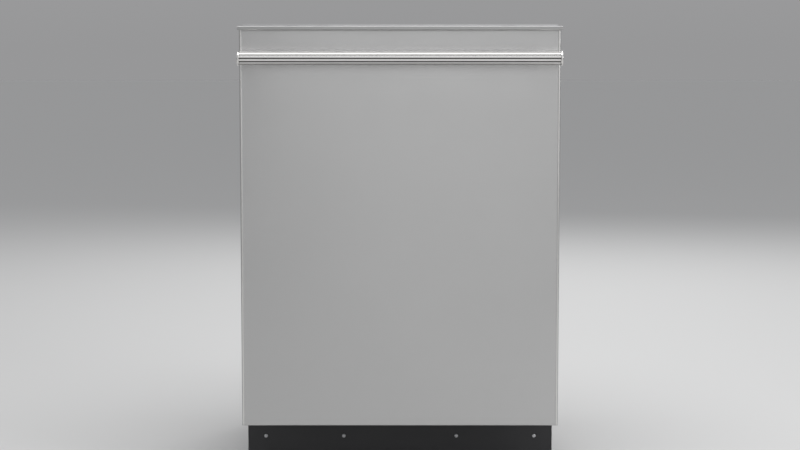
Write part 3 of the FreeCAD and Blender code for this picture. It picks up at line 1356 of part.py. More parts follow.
def cutlery_tray():
    outer = middle_box("tray_block", ("2 * tray_half", "tray_length", "tray_height"),
                       ("0", "-tray_front", "tray_base"))
    inner = middle_box("tray_inside",
                       ("2 * (tray_half - tray_wall)", "tray_length - 2 * tray_wall", "tray_height"),
                       ("0", "tray_wall - tray_front", "tray_base + tray_wall"))
    slots = []
    for number in range(number_of("tray_slots")):
        slots.append(box("tray_opening", ("tray_slot", "tray_length - 2 * tray_margin", "3 * tray_wall"),
                         (f"{number} * tray_slot_pitch + tray_slot_start - tray_half",
                          "tray_margin - tray_front", "tray_base - tray_wall")))
    lips = []
    for side in (-1, 1):
        lips.append(box("tray_lip_bar", ("tray_lip + 2 * sink", "tray_length", "tray_lip_height"),
                        (side_low(side, "tray_half - 2 * sink", "tray_lip + 2 * sink"), "-tray_front",
                         "tray_rail_base + tray_rail + cover_gap")))
    shell = cut("tray_shell", outer, inner, *slots)
    node(fused("tray_body", shell, *lips), "cutlery_tray")


# ---- fasteners ----

def screw_heads(label, spots, along):
    heads = [cylinder("screw", "screw_radius", "screw_height", spot, along) for spot in spots]
    node(group(label + "_set", *heads), label)


def fasteners():
    cabinet = []
    for side in (-1, 1):
        for height in FRAME_SCREW_HEIGHTS:
            cabinet.append((f"{side} * frame_screw_side", "-tub_front - sheet - screw_height", height))
        for across in TOE_SCREW_SIDES:
            cabinet.append((side * across, "-toe_front - screw_height", "toe_screw_height"))
    screw_heads("cabinet_screws", cabinet, "y")
    door = []
    for side in (-1, 1):
        for height in DOOR_SCREW_HEIGHTS:
            door.append((side_low(side, "liner_width / 2", "screw_height"), "-door_screw_line", height))
    screw_heads("door_screws", door, "x")


def build():
    door_panel()
    door_cap()
    for label, centre in KEYS:
        key(label, centre)
    handle_bar()
    handle_end("handle_end_left", -1)
    handle_end("handle_end_right", 1)
    door_liner()
    door_seal()
    control_fascia()
    control_board()
    latch_case()
    latch_claw()
    latch_strike()
    dispenser_case()
    detergent_lid()
    rinse_cap()
    hinge_arms()
    hinge_brackets()
    door_springs()
    tub_wrap()
    tub_back_wall()
    tub_floor()
    tub_gasket()
    front_frame()
    sound_blanket()
    air_break()
    base_tray()
    toe_kick()
    for side, name in ((-1, "left"), (1, "right")):
        foot(f"foot_front_{name}", side, "-foot_front")
        foot(f"foot_rear_{name}", side, "foot_rear")
        tine_row(f"tines_{name}", side)
        cup_shelf(f"cup_shelf_{name}", side)
    sump()
    filter_plate()
    filter_cup()
    wash_pump()
    drain_pump()
    pump_hose()
    riser_tube()
    inlet_valve()
    junction_box()
    spray_arm("lower_spray_arm", "lower_arm_radius", "lower_arm_base")
    spray_arm("upper_spray_arm", "upper_arm_radius", "upper_arm_base")
    spray_arm("ceiling_spray_arm", "top_arm_radius", "top_arm_base")
    lower_rack()
    wheel_pair("wheels_front", "-wheel_front")
    wheel_pair("wheels_rear", "wheel_rear")
    upper_rack()
    upper_manifold()
    fixed_rails()
    middle_rails()
    cutlery_tray()
    fasteners()


def check_and_write():
    doc.recompute()
    for obj in doc.Objects:
        if "Invalid" in obj.State or "Error" in obj.State:
            raise RuntimeError(f"{obj.Name}: {obj.State}")
    for obj in NODES:
        if obj.Shape.isNull() or not obj.Shape.isValid() or obj.Shape.Volume <= 0:
            raise RuntimeError(f"{obj.Label}: bad shape")
    os.makedirs("parts", exist_ok=True)
    for obj in NODES:
        obj.Shape.exportStep(f"parts/{obj.Label}.step")
        bounds = obj.Shape.BoundBox
        print(f"{obj.Label:20s} solids {len(obj.Shape.Solids):3d}"
              f"  x {bounds.XMin:8.1f} {bounds.XMax:8.1f}  y {bounds.YMin:8.1f} {bounds.YMax:8.1f}"
              f"  z {bounds.ZMin:7.1f} {bounds.ZMax:7.1f}")
    print(len(NODES), "sub-parts")


build()
check_and_write()
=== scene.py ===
import json
import math

import bmesh
import bpy
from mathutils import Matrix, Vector, noise


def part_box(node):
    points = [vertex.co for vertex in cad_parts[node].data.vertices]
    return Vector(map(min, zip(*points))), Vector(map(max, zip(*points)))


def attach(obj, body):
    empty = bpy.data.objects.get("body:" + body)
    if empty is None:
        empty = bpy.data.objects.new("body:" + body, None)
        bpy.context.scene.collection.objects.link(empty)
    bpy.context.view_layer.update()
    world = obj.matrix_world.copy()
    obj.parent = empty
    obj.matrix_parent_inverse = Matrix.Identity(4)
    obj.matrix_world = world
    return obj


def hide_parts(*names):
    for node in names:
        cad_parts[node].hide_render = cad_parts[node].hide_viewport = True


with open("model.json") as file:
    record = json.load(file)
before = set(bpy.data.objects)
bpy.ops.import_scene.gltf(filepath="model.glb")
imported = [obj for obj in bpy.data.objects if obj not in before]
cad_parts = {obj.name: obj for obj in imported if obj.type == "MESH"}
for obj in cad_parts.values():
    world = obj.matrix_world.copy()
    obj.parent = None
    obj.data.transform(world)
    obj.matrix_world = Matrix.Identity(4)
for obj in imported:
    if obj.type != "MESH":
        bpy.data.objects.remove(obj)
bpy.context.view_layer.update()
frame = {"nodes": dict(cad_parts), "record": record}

MM = 0.001
NODES = frame["nodes"]
SLOTS = {row["node"]: row["material_slot"] for row in frame["record"]["subparts"]}

# places inside the base, as in part.py
INLET_X = -228 * MM
DRAIN_X = -150 * MM
STUB_Z = 92 * MM
PUMP_Y = 50 * MM
PUMP_Z = 92 * MM
DRAIN_Z = 72 * MM
BRACKET_FACE = 284 * MM

# finishes shared by several materials
BAR_COLOUR = (0.8, 0.79, 0.775)
GREY = (0.3, 0.31, 0.325)
PANEL_GRAIN = (1.6, 900, 2600)
BAR_GRAIN = (3, 700, 700)


# ---------------------------------------------------------------- camera, lights, floor

def aim(thing, target):
    thing.rotation_euler = (Vector(target) - thing.location).to_track_quat("-Z", "Y").to_euler()


def make_camera():
    """Level with the top of the door, 3.4 m in front of it, tilted down a little."""
    distance, lens, tilt = 3.4, 82.07, math.radians(5.612)
    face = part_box("door_panel")[0].y
    middle = (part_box("door_panel")[0].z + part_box("door_cap")[1].z) / 2
    camera = bpy.data.objects.new("camera", bpy.data.cameras.new("camera"))
    bpy.context.scene.collection.objects.link(camera)
    camera.data.lens = lens
    camera.data.sensor_width = 36
    camera.location = (0, face - distance, middle + 0.340)
    camera.rotation_euler = (math.pi / 2 - tilt, 0, 0)
    bpy.context.scene.camera = camera


def area_light(name, place, target, size, power, tint=(1, 1, 1)):
    data = bpy.data.lights.new(name, "AREA")
    data.shape = "RECTANGLE"
    data.size, data.size_y = size
    data.energy = power
    data.color = tint
    light = bpy.data.objects.new(name, data)
    light.location = place
    bpy.context.scene.collection.objects.link(light)
    aim(light, target)


def make_studio():
    scene = bpy.context.scene
    scene.view_settings.view_transform = "Standard"
    world = bpy.data.worlds.new("studio")
    world.use_nodes = True
    tree = world.node_tree
    where = tree.nodes.new("ShaderNodeTexCoord")
    split = tree.nodes.new("ShaderNodeSeparateXYZ")
    sky = tree.nodes.new("ShaderNodeValToRGB")
    sky.color_ramp.elements[0].color = (0.31, 0.31, 0.315, 1)
    sky.color_ramp.elements[1].color = (0.52, 0.525, 0.535, 1)
    sky.color_ramp.elements[1].position = 0.55
    tree.links.new(where.outputs["Generated"], split.inputs["Vector"])
    tree.links.new(split.outputs["Z"], sky.inputs["Fac"])
    tree.links.new(sky.outputs["Color"], tree.nodes["Background"].inputs["Color"])
    scene.world = world
    area_light("front_wall", (1.4, -6.4, 1.6), (1.4, 0, 1.6), (4.7, 3.0), 19.6)
    area_light("front_middle", (0.24, -6.3, 1.6), (0.24, 0, 1.6), (1.1, 3.0), 1.2)
    area_light("overhead", (0.3, -0.68, 3.3), (0.3, -0.68, 0.0), (3.6, 2.2), 62)
    area_light("right", (3.2, -2.4, 1.9), (0, -0.2, 0.6), (1.6, 1.6), 30)
    area_light("left", (-3.4, -1.4, 1.8), (0, -0.1, 0.5), (1.8, 1.8), 3)
    area_light("back", (0.6, 3.4, 2.8), (0, 0.2, 0.5), (2.6, 1.6), 60)
    bpy.ops.mesh.primitive_plane_add(size=80)
    floor = bpy.context.object
    floor.name = "floor"
    values = {"Base Color": (0.576, 0.575, 0.572, 1), "Roughness": 0.75}
    floor.data.materials.append(new_material("floor", values)[0])


# ---------------------------------------------------------------- materials

def new_material(name, values=()):
    material = bpy.data.materials.new(name)
    material.use_nodes = True
    shader = material.node_tree.nodes["Principled BSDF"]
    set_inputs(shader, values)
    return material, shader


def set_inputs(node, values):
    for name, value in dict(values).items():
        node.inputs[name].default_value = value


def add(material, kind, **settings):
    made = material.node_tree.nodes.new(kind)
    for name, value in settings.items():
        setattr(made, name, value)
    return made


def link(material, source, target):
    material.node_tree.links.new(source, target)


def object_space(material):
    return add(material, "ShaderNodeTexCoord").outputs["Object"]


def stretched(material, stretch, scale=1.0, detail=3.0, rough=0.55):
    """Noise in object space, stretched along the axes by the factors in stretch."""
    mapping = add(material, "ShaderNodeMapping")
    set_inputs(mapping, {"Scale": stretch})
    texture = add(material, "ShaderNodeTexNoise")
    set_inputs(texture, {"Scale": scale, "Detail": detail, "Roughness": rough})
    link(material, object_space(material), mapping.inputs["Vector"])
    link(material, mapping.outputs["Vector"], texture.inputs["Vector"])
    return texture.outputs["Fac"]


def between(material, value, low, high, source=(0.3, 0.7)):
    remap = add(material, "ShaderNodeMapRange")
    set_inputs(remap, {"From Min": source[0], "From Max": source[1], "To Min": low, "To Max": high})
    link(material, value, remap.inputs["Value"])
    return remap.outputs["Result"]


def tinted(material, value, dark, light, source=(0.3, 0.7)):
    ramp = add(material, "ShaderNodeValToRGB")
    ramp.color_ramp.elements[0].position, ramp.color_ramp.elements[1].position = source
    ramp.color_ramp.elements[0].color = (*dark, 1)
    ramp.color_ramp.elements[1].color = (*light, 1)
    link(material, value, ramp.inputs["Fac"])
    return ramp.outputs["Color"]


def paint(material, shader, *tint):
    link(material, tinted(material, *tint), shader.inputs["Base Color"])


def gloss(material, shader, *spread):
    link(material, between(material, *spread), shader.inputs["Roughness"])


def blend(material, share, first, second):
    mix = add(material, "ShaderNodeMix", data_type="FLOAT")
    set_inputs(mix, {"Factor": share})
    link(material, first, mix.inputs[2])
    link(material, second, mix.inputs[3])
    return mix.outputs[0]


def vector_math(material, operation, source, value=None):
    made = add(material, "ShaderNodeVectorMath", operation=operation)
    link(material, source, made.inputs[0])
    if value is not None:
        made.inputs[1].default_value = value
    return made.outputs["Value" if operation == "LENGTH" else "Vector"]


def darkened(material, dark, value, edges):
    """Fades the base colour to dark where value falls from the second edge to the first."""
    colour = material.node_tree.nodes["Principled BSDF"].inputs["Base Color"]
    plain = colour.links[0].from_socket
    mix = add(material, "ShaderNodeMix", data_type="RGBA")
    mix.inputs[6].default_value = (*dark, 1)
    link(material, between(material, value, 0.0, 1.0, edges), mix.inputs["Factor"])
    link(material, plain, mix.inputs[7])
    link(material, mix.outputs[2], colour)
    return material


def bumped(material, shader, value, height, strength=1.0):
    bump = add(material, "ShaderNodeBump")
    set_inputs(bump, {"Distance": height, "Strength": strength})
    link(material, value, bump.inputs["Height"])
    last = shader.inputs["Normal"].links
    if last:
        link(material, last[0].from_socket, bump.inputs["Normal"])
    link(material, bump.outputs["Normal"], shader.inputs["Normal"])


def steel(name, colour, roughness, grain, axis="Z", turn=0.0, stretch=0.55,
          grain_height=0.00002, contrast=0.07, wear=0.035):
    """Brushed steel. The factors in grain stretch its noise, so that the lines run along the smallest one."""
    material, shader = new_material(name, {"Metallic": 1.0, "Anisotropic": stretch,
                                           "Anisotropic Rotation": turn})
    tangent = add(material, "ShaderNodeTangent", direction_type="RADIAL", axis=axis)
    link(material, tangent.outputs["Tangent"], shader.inputs["Tangent"])
    fine = stretched(material, grain, 1.0, 4.0, 0.7)
    broad = stretched(material, [g * 0.12 for g in grain], 1.0, 3.0, 0.6)
    cloud = stretched(material, (1, 1, 1), 5.0, 2.0)
    dark = tuple(c * (1 - contrast) for c in colour)
    light = tuple(min(1, c * (1 + contrast * 0.7)) for c in colour)
    paint(material, shader, blend(material, 0.45, fine, broad), dark, light)
    spread = add(material, "ShaderNodeMath", operation="MULTIPLY_ADD")
    link(material, between(material, fine, -wear, wear), spread.inputs[0])
    spread.inputs[1].default_value = 1.0
    link(material, between(material, cloud, roughness - 0.02, roughness + 0.025), spread.inputs[2])
    link(material, spread.outputs[0], shader.inputs["Roughness"])
    if grain_height:
        bumped(material, shader, fine, grain_height)
    return material


def polished_bar():
    """Extruded bar, polished along its length, with painted shade at the bottom of its grooves."""
    low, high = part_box("handle_bar")
    material = steel("bar_steel", BAR_COLOUR, 0.09, BAR_GRAIN, "X", 0.0, 0.0, 0.0, 0.012, 0.003)
    shift = vector_math(material, "SUBTRACT", object_space(material), (low + high) / 2)
    flat = vector_math(material, "MULTIPLY", shift, (0, 1, 1))
    groove_foot, rib_crest = 11.8 * MM, 12.4 * MM
    reach = vector_math(material, "LENGTH", flat)
    # painted shade: the base colour fades to near black where the radius falls to the groove floor, standing
    # in for shade between the ribs
    return darkened(material, (0.05, 0.048, 0.045), reach, (groove_foot, rib_crest))


def plastic(name, colour, roughness, grain=1400.0, height=0.00003, coat=0.0):
    """Moulded plastic with a fine spark eroded texture."""
    material, shader = new_material(name, {"Coat Weight": coat})
    speck = stretched(material, (1, 1, 1), grain, 2.0)
    cloud = stretched(material, (1, 1, 1), 14.0, 4.0)
    dark = tuple(c * 0.88 for c in colour)
    light = tuple(min(1, c * 1.1) for c in colour)
    paint(material, shader, cloud, dark, light)
    gloss(material, shader, cloud, roughness - 0.05, roughness + 0.06)
    bumped(material, shader, speck, height)
    return material


def zinc():
    material, shader = new_material("zinc", {"Metallic": 1.0})
    spangle = add(material, "ShaderNodeTexVoronoi")
    set_inputs(spangle, {"Scale": 160})
    link(material, object_space(material), spangle.inputs["Vector"])
    paint(material, shader, spangle.outputs["Color"], (0.56, 0.565, 0.575), (0.66, 0.66, 0.675), (0, 1))
    gloss(material, shader, spangle.outputs["Distance"], 0.36, 0.42, (0, 1))
    return material


def felt():
    """Needled grey felt: fibres that lie mostly one way, and soft tufts."""
    material, shader = new_material("felt", {"Roughness": 0.95, "Sheen Weight": 0.35,
                                             "Sheen Roughness": 0.6})
    fibre = stretched(material, (1, 1, 1), 900, 6.0, 0.8)
    lay = stretched(material, (180, 60, 420), 1.0, 4.0, 0.7)
    tuft = stretched(material, (1, 1, 1), 60, 5.0, 0.7)
    paint(material, shader, blend(material, 0.5, fibre, lay),
          (0.055, 0.055, 0.058), (0.2, 0.2, 0.205), (0.38, 0.62))
    bumped(material, shader, fibre, 0.0006)
    bumped(material, shader, tuft, 0.0015)
    return material


def hose_rubber():
    material, shader = new_material("hose_rubber", {"Roughness": 0.55})
    cloud = stretched(material, (1, 1, 1), 60, 3.0)
    paint(material, shader, cloud, (0.02, 0.02, 0.02), (0.05, 0.05, 0.05))
    return material


def translucent():
    material, shader = new_material("clear_plastic", {"Transmission Weight": 0.25,
                                                      "Subsurface Weight": 0.15})
    cloud = stretched(material, (1, 1, 1), 9, 3.0)
    paint(material, shader, cloud, (0.66, 0.66, 0.6), (0.82, 0.82, 0.78))
    gloss(material, shader, cloud, 0.3, 0.45)
    return material


def circuit_board():
    material, shader = new_material("board", {"Roughness": 0.35})
    tracks = add(material, "ShaderNodeTexVoronoi", distance="MANHATTAN", feature="F2")
    set_inputs(tracks, {"Scale": 260})
    link(material, object_space(material), tracks.inputs["Vector"])
    paint(material, shader, tracks.outputs["Distance"], (0.01, 0.09, 0.04), (0.05, 0.25, 0.1))
    return material


def cast_metal():
    material, shader = new_material("motor", {"Metallic": 1.0})
    speck = stretched(material, (1, 1, 1), 420, 5.0, 0.7)
    paint(material, shader, speck, (0.38, 0.38, 0.4), (0.56, 0.56, 0.57))
    gloss(material, shader, speck, 0.42, 0.6)
    bumped(material, shader, speck, 0.00015)
    return material


def pierced(material, pitch, radius):
    """Darkens rows of small round holes, seen from above."""
    scaled = vector_math(material, "MULTIPLY", object_space(material), (1 / pitch, 1 / pitch, 1 / pitch))
    cell = vector_math(material, "FRACTION", scaled)
    middle = vector_math(material, "SUBTRACT", cell, (0.5, 0.5, 0.5))
    flat = vector_math(material, "MULTIPLY", middle, (1, 1, 0))
    edge = radius / pitch
    blur = 0.05
    reach = vector_math(material, "LENGTH", flat)
    return darkened(material, (0.012, 0.012, 0.013), reach, (edge - blur, edge + blur))


MATERIALS = {
    "stainless": steel("stainless", (0.566, 0.565, 0.562), 0.235, PANEL_GRAIN, "Z", 0.25, 0.86,
                       0.0000015, 0.055, 0.014),
    "cap_steel": steel("cap_steel", (0.44, 0.439, 0.436), 0.3, PANEL_GRAIN, "Z", 0.25, 0.8, 0.0, 0.02, 0.006),
    "bar_steel": polished_bar(),
    "post_steel": steel("post_steel", BAR_COLOUR, 0.14, BAR_GRAIN, "X", 0.0, 0.2, 0.0, 0.025, 0.006),
    "tub_steel": steel("tub_steel", (0.66, 0.66, 0.665), 0.24, (500, 12, 12), "Z", 0.0, 0.2, 0.000003,
                       0.05, 0.015),
    "zinc": zinc(),
    "black_steel": plastic("black_steel", (0.02, 0.02, 0.022), 0.48, 700.0, 0.00008),
    "dark_plastic": plastic("dark_plastic", (0.045, 0.045, 0.05), 0.5),
    "grey_plastic": plastic("grey_plastic", GREY, 0.42),
    "lid_plastic": plastic("lid_plastic", (0.56, 0.575, 0.59), 0.32, coat=0.15),
    "key_plastic": plastic("key_plastic", (0.035, 0.035, 0.04), 0.3, coat=0.3),
    "clear_plastic": translucent(),
    "rubber": plastic("rubber", (0.05, 0.05, 0.055), 0.62, 900.0, 0.00004),
    "hose_rubber": hose_rubber(),
    "felt": felt(),
    "board": circuit_board(),
    "motor": cast_metal(),
    "rack_wire": plastic("rack_wire", (0.36, 0.39, 0.43), 0.36, 120.0, 0.0002, coat=0.2),
    "sieve": pierced(steel("sieve", (0.62, 0.62, 0.625), 0.3, (12, 500, 500), "Z", 0.0, 0.2,
                           0.000003, 0.05, 0.015), 3.2 * MM, 0.9 * MM),
    "sieve_plastic": pierced(plastic("sieve_plastic", GREY, 0.42), 3.6 * MM, 1.0 * MM),
}

# nodes whose look differs from their slot's material
LOOKS = {"door_cap": "cap_steel", "filter_plate": "sieve", "filter_cup": "sieve_plastic"}


def dress_nodes():
    for name, thing in NODES.items():
        thing.data.materials.clear()
        thing.data.materials.append(MATERIALS[LOOKS.get(name, SLOTS[name])])


# ---------------------------------------------------------------- making pieces

def finish_piece(thing, body, slot, nodes=(), look=None):
    thing.data.materials.append(MATERIALS[look or slot])
    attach(thing, body)
    if nodes:
        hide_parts(*nodes)
    return thing


def from_mesh(name, mesh, body, slot, nodes=(), bevel=0.0, flat=False, look=None):
    """A piece from a bmesh, smooth shaded unless it is flat or bevelled."""
    data = bpy.data.meshes.new(name)
    bmesh.ops.recalc_face_normals(mesh, faces=mesh.faces)
    mesh.to_mesh(data)
    mesh.free()
    thing = bpy.data.objects.new(name, data)
    bpy.context.scene.collection.objects.link(thing)
    if not (flat or bevel):
        data.shade_smooth()
    if bevel:
        round_off = thing.modifiers.new("bevel", "BEVEL")
        round_off.width = bevel
        round_off.segments = 3
        round_off.harden_normals = True
    return finish_piece(thing, body, slot, nodes, look)


def tubes(name, paths, radius, body, slot, nodes=(), closed=False):
    """Round wires along paths of points, all in one piece."""
    data = bpy.data.curves.new(name, "CURVE")
    data.dimensions = "3D"
    data.bevel_depth = radius
    data.bevel_resolution = 3
    data.use_fill_caps = True
    for path in paths:
        spline = data.splines.new("POLY")
        spline.points.add(len(path) - 1)
        for spot, place in zip(spline.points, path):
            spot.co = (*place, 1)
        spline.use_cyclic_u = closed
        spline.use_smooth = True
    thing = bpy.data.objects.new(name, data)
    bpy.context.scene.collection.objects.link(thing)
    return finish_piece(thing, body, slot, nodes)


def bent(corners, radius, steps=6, closed=False):
    """A path through corners, each rounded with the given radius."""
    corners = [Vector(c) for c in corners]
    count = len(corners)
    path = []
    for i, corner in enumerate(corners):
        if not closed and i in (0, count - 1):
            path.append(corner)
            continue
        before = (corners[i - 1] - corner).normalized()
        after = (corners[(i + 1) % count] - corner).normalized()
        half = before.angle(after) / 2
        reach = radius / math.tan(half)
        start, end = corner + before * reach, corner + after * reach
        centre = corner + (before + after).normalized() * (radius / math.sin(half))
        for k in range(steps + 1):
            share = k / steps
            arm = (start - centre).slerp(end - centre, share).normalized()
            path.append(centre + arm * radius)
    return path


def grid_sheet(name, spot, columns, rows, thick, body, slot, nodes=(), keep=None, outward=1.0):
    """A sheet of thickness thick through spot(u, v) for u, v from 0 to 1, without the cells keep refuses."""
    mesh = bmesh.new()
    points = [[mesh.verts.new(spot(i / columns, j / rows)) for j in range(rows + 1)]
              for i in range(columns + 1)]
    for i in range(columns):
        for j in range(rows):
            if keep and not keep((i + 0.5) / columns, (j + 0.5) / rows):
                continue
            mesh.faces.new((points[i][j], points[i + 1][j], points[i + 1][j + 1], points[i][j + 1]))
    loose = [v for v in mesh.verts if not v.link_faces]
    bmesh.ops.delete(mesh, geom=loose, context="VERTS")
    thing = from_mesh(name, mesh, body, slot, nodes)
    thicken(thing, thick, outward)
    return thing


def thicken(thing, thick, outward):
    shell = thing.modifiers.new("thickness", "SOLIDIFY")
    shell.thickness = thick
    shell.offset = outward


def join_rings(mesh, rings):
    """Faces from each ring of points to the next, and over the first and the last."""
    steps = len(rings[0])
    for a, b in zip(rings, rings[1:]):
        for k in range(steps):
            mesh.faces.new((a[k], a[(k + 1) % steps], b[(k + 1) % steps], b[k]))
    mesh.faces.new(rings[0])
    mesh.faces.new(rings[-1])


def scaled_mm(*pairs):
    """A profile given in millimetres."""
    return [(a * MM, b * MM) for a, b in pairs]


def arch(side, y, foot, top):
    """Corners of an upside down U in the plane y."""
    return [(-side, y, foot), (-side, y, top), (side, y, top), (side, y, foot)]


def spread_over(low, high, u, v):
    """The x and z at the shares u and v of a box."""
    return low.x + (high.x - low.x) * u, low.z + (high.z - low.z) * v


def lathe(mesh, profile, centre, along, steps=48):
    """A closed solid of revolution: profile is (distance along, radius), from one end to the other."""
    along = Vector(along).normalized()
    side = along.orthogonal().normalized()
    other = along.cross(side)
    rings = []
    for reach, radius in profile:
        ring = []
        for k in range(steps):
            turn = 2 * math.pi * k / steps
            ring.append(mesh.verts.new(Vector(centre) + along * reach
                                       + (side * math.cos(turn) + other * math.sin(turn)) * radius))
        rings.append(ring)
    join_rings(mesh, rings)


def block(mesh, low, high):
    low, high = Vector(low), Vector(high)
    made = bmesh.ops.create_cube(mesh, size=1.0)["verts"]
    for v in made:
        v.co = Vector(((v.co[k] + 0.5) * (high[k] - low[k]) + low[k]) for k in range(3))


def ramp(value, low, high):
    """0 below low, 1 above high, smooth between."""
    share = max(0.0, min(1.0, (value - low) / (high - low)))
    return share * share * (3 - 2 * share)


def pad_shape(x, z, left, right, low, high, soft):
    """1 inside a rectangle, falling to 0 over the width soft outside its edge."""
    return (ramp(x, left - soft, left) * (1 - ramp(x, right, right + soft))
            * ramp(z, low - soft, low) * (1 - ramp(z, high, high + soft)))


# ---------------------------------------------------------------- handle

def ribbed_bar():
    low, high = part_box("handle_bar")
    centre = (low + high) / 2
    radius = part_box("handle_end_left")[1].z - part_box("handle_end_left")[0].z
    radius = radius / 2 - 0.8 * MM
    ribs, depth = 12, 1.9 * MM
    steps = ribs * 20
    mesh = bmesh.new()
    rings = []
    ends = (0, 0.6 * MM, 0.9 * MM, 1.6 * MM)
    for x in [low.x + k for k in ends] + [high.x - k for k in reversed(ends)]:
        shrink = 0.6 * MM if x in (low.x, high.x) else 0.0
        ring = []
        for k in range(steps):
            turn = 2 * math.pi * k / steps
            groove = (1 - abs(math.sin(turn * ribs / 2))) ** 2.0
            size = radius - depth * groove - shrink
            y, z = centre.y - size * math.cos(turn), centre.z + size * math.sin(turn)
            ring.append(mesh.verts.new((x, y, z)))
        rings.append(ring)
    join_rings(mesh, rings)
    from_mesh("ribbed_bar", mesh, "door", "bar_steel", ("handle_bar",))


def handle_ends():
    """A domed cap on each end of the bar, and the post that holds it, with a small foot on the door."""
    bar_low, bar_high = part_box("handle_bar")
    axis_y, axis_z = (bar_low.y + bar_high.y) / 2, (bar_low.z + bar_high.z) / 2
    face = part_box("door_panel")[0].y
    for name, sign in (("left", -1), ("right", 1)):
        low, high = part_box(f"handle_end_{name}")
        outer, inner = (low.x, high.x) if sign < 0 else (high.x, low.x)
        radius = (high.z - low.z) / 2
        mesh = bmesh.new()
        lathe(mesh, ((0, radius - 0.5 * MM), (0.4 * MM, radius), (3.0 * MM, radius),
                     (3.9 * MM, radius - 0.5 * MM), (4.5 * MM, radius - 2 * MM),
                     (4.85 * MM, radius - 5 * MM), (5.0 * MM, 0.3 * MM)),
              (outer - sign * 5 * MM, axis_y, axis_z), (sign, 0, 0), 72)
        from_mesh(f"handle_dome_{name}", mesh, "door", "bar_steel", (f"handle_end_{name}",),
                  look="post_steel")
        post = bmesh.new()
        ends = sorted((inner, outer - sign * 5.2 * MM))
        block(post, (ends[0], axis_y + 2 * MM, axis_z - 9 * MM), (ends[1], face + 0.2 * MM, axis_z + 9 * MM))
        from_mesh(f"handle_post_{name}", post, "door", "bar_steel", bevel=3 * MM,
                  look="post_steel")
        foot = bmesh.new()
        block(foot, (ends[0] - 1.2 * MM, face - 1.6 * MM, axis_z - 10.2 * MM),
              (ends[1] + 1.2 * MM, face + 0.2 * MM, axis_z + 10.2 * MM))
        from_mesh(f"handle_foot_{name}", foot, "door", "bar_steel", bevel=0.7 * MM,
                  look="post_steel")


# ---------------------------------------------------------------- door skin

def fold(inset, radius):
    """How far behind its face a sheet turned back with this radius lies, this far in from its edge."""
    share = max(0.0, 1 - inset / radius)
    return radius * (1 - math.sqrt(1 - share * share))


def edge_drop(side, foot):
    """How far the skin lies behind its front, at these distances from its side and from its lower edge."""
    turn, bead, land = 2.6 * MM, 1.1 * MM, 0.35 * MM
    return fold(side, turn) + land * ramp(side, turn + bead, turn + bead + 0.5 * MM) + fold(foot, turn - land)


def door_skin():
    """The brushed sheet, folded back at both sides and its foot, with a small rolled edge at the sides."""
    low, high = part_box("door_panel")
    steps = (0, 0.05, 0.2, 0.45, 0.8, 1.2, 1.7, 2.2, 2.6, 2.9, 3.4, 3.7, 3.85, 4.0, 4.2, 5.5)
    xs = [low.x + k * MM for k in steps] + [low.x + (high.x - low.x) * k / 12 for k in range(1, 12)]
    xs += [high.x - k * MM for k in reversed(steps)]
    zs = [low.z + k * MM for k in steps] + [low.z + (high.z - low.z) * k / 12 for k in range(1, 12)]
    zs += [high.z - k * MM for k in (1.0, 0.5, 0.0)]
    mesh = bmesh.new()
    rows = []
    for x in xs:
        row = []
        for z in zs:
            row.append(mesh.verts.new((x, low.y + edge_drop(min(x - low.x, high.x - x), z - low.z), z)))
        rows.append(row)
    for a, b in zip(rows, rows[1:]):
        for k in range(len(zs) - 1):
            face = mesh.faces.new((a[k], b[k], b[k + 1], a[k + 1]))
            middle = face.calc_center_median()
            inset = min(middle.x - low.x, high.x - middle.x)
            # the rolled bead takes the second material: a real polished finish, lighter than the sheet so its
            # colour also carries a painted highlight line
            face.material_index = int(2.2 * MM < inset < 3.8 * MM)
    rim = [rows[0][k] for k in reversed(range(len(zs)))] + [r[0] for r in rows[1:]] + rows[-1][1:]
    back = [mesh.verts.new((v.co.x, high.y, v.co.z)) for v in rim]
    for k in range(len(rim) - 1):
        mesh.faces.new((rim[k], rim[k + 1], back[k + 1], back[k]))
    thing = from_mesh("door_skin", mesh, "door", "stainless", ("door_panel",))
    # second material for the bead: polished steel whose lighter colour is partly a painted highlight
    thing.data.materials.append(MATERIALS["post_steel"])
    thicken(thing, 1.0 * MM, -1.0)


# ---------------------------------------------------------------- racks

def basket(name, body, node_box, floor_z, nodes, pitch, hoop_heights):
    """Bent and welded wires: U shapes both ways, and hoops round the sides."""
    low, high = node_box
    wire = 2.0 * MM
    left, right = low.x, high.x
    front, rear = low.y, high.y
    rim = high.z - wire
    bend = 22 * MM
    paths = []
    count = round((rear - front - 2 * bend) / pitch)
    for i in range(count + 1):
        y = front + bend + (rear - front - 2 * bend) * i / count
        paths.append(bent([(left, y, rim), (left, y, floor_z), (right, y, floor_z), (right, y, rim)], bend))
    count = round((right - left - 2 * bend) / pitch)
    lift = 3.2 * MM
    for i in range(count + 1):
        x = left + bend + (right - left - 2 * bend) * i / count
        paths.append(bent([(x, front + lift, rim), (x, front + lift, floor_z + lift),
                           (x, rear - lift, floor_z + lift), (x, rear - lift, rim)], bend))
    tubes(name, paths, wire, body, "rack_wire", nodes)
    hoops = []
    for z in hoop_heights:
        out = 1.5 * MM
        hoops.append(bent([(left - out, front - out, z), (right + out, front - out, z),
                           (right + out, rear + out, z), (left - out, rear + out, z)], bend, closed=True))
    tubes(name + "_hoops", hoops, wire * 1.2, body, "rack_wire", closed=True)


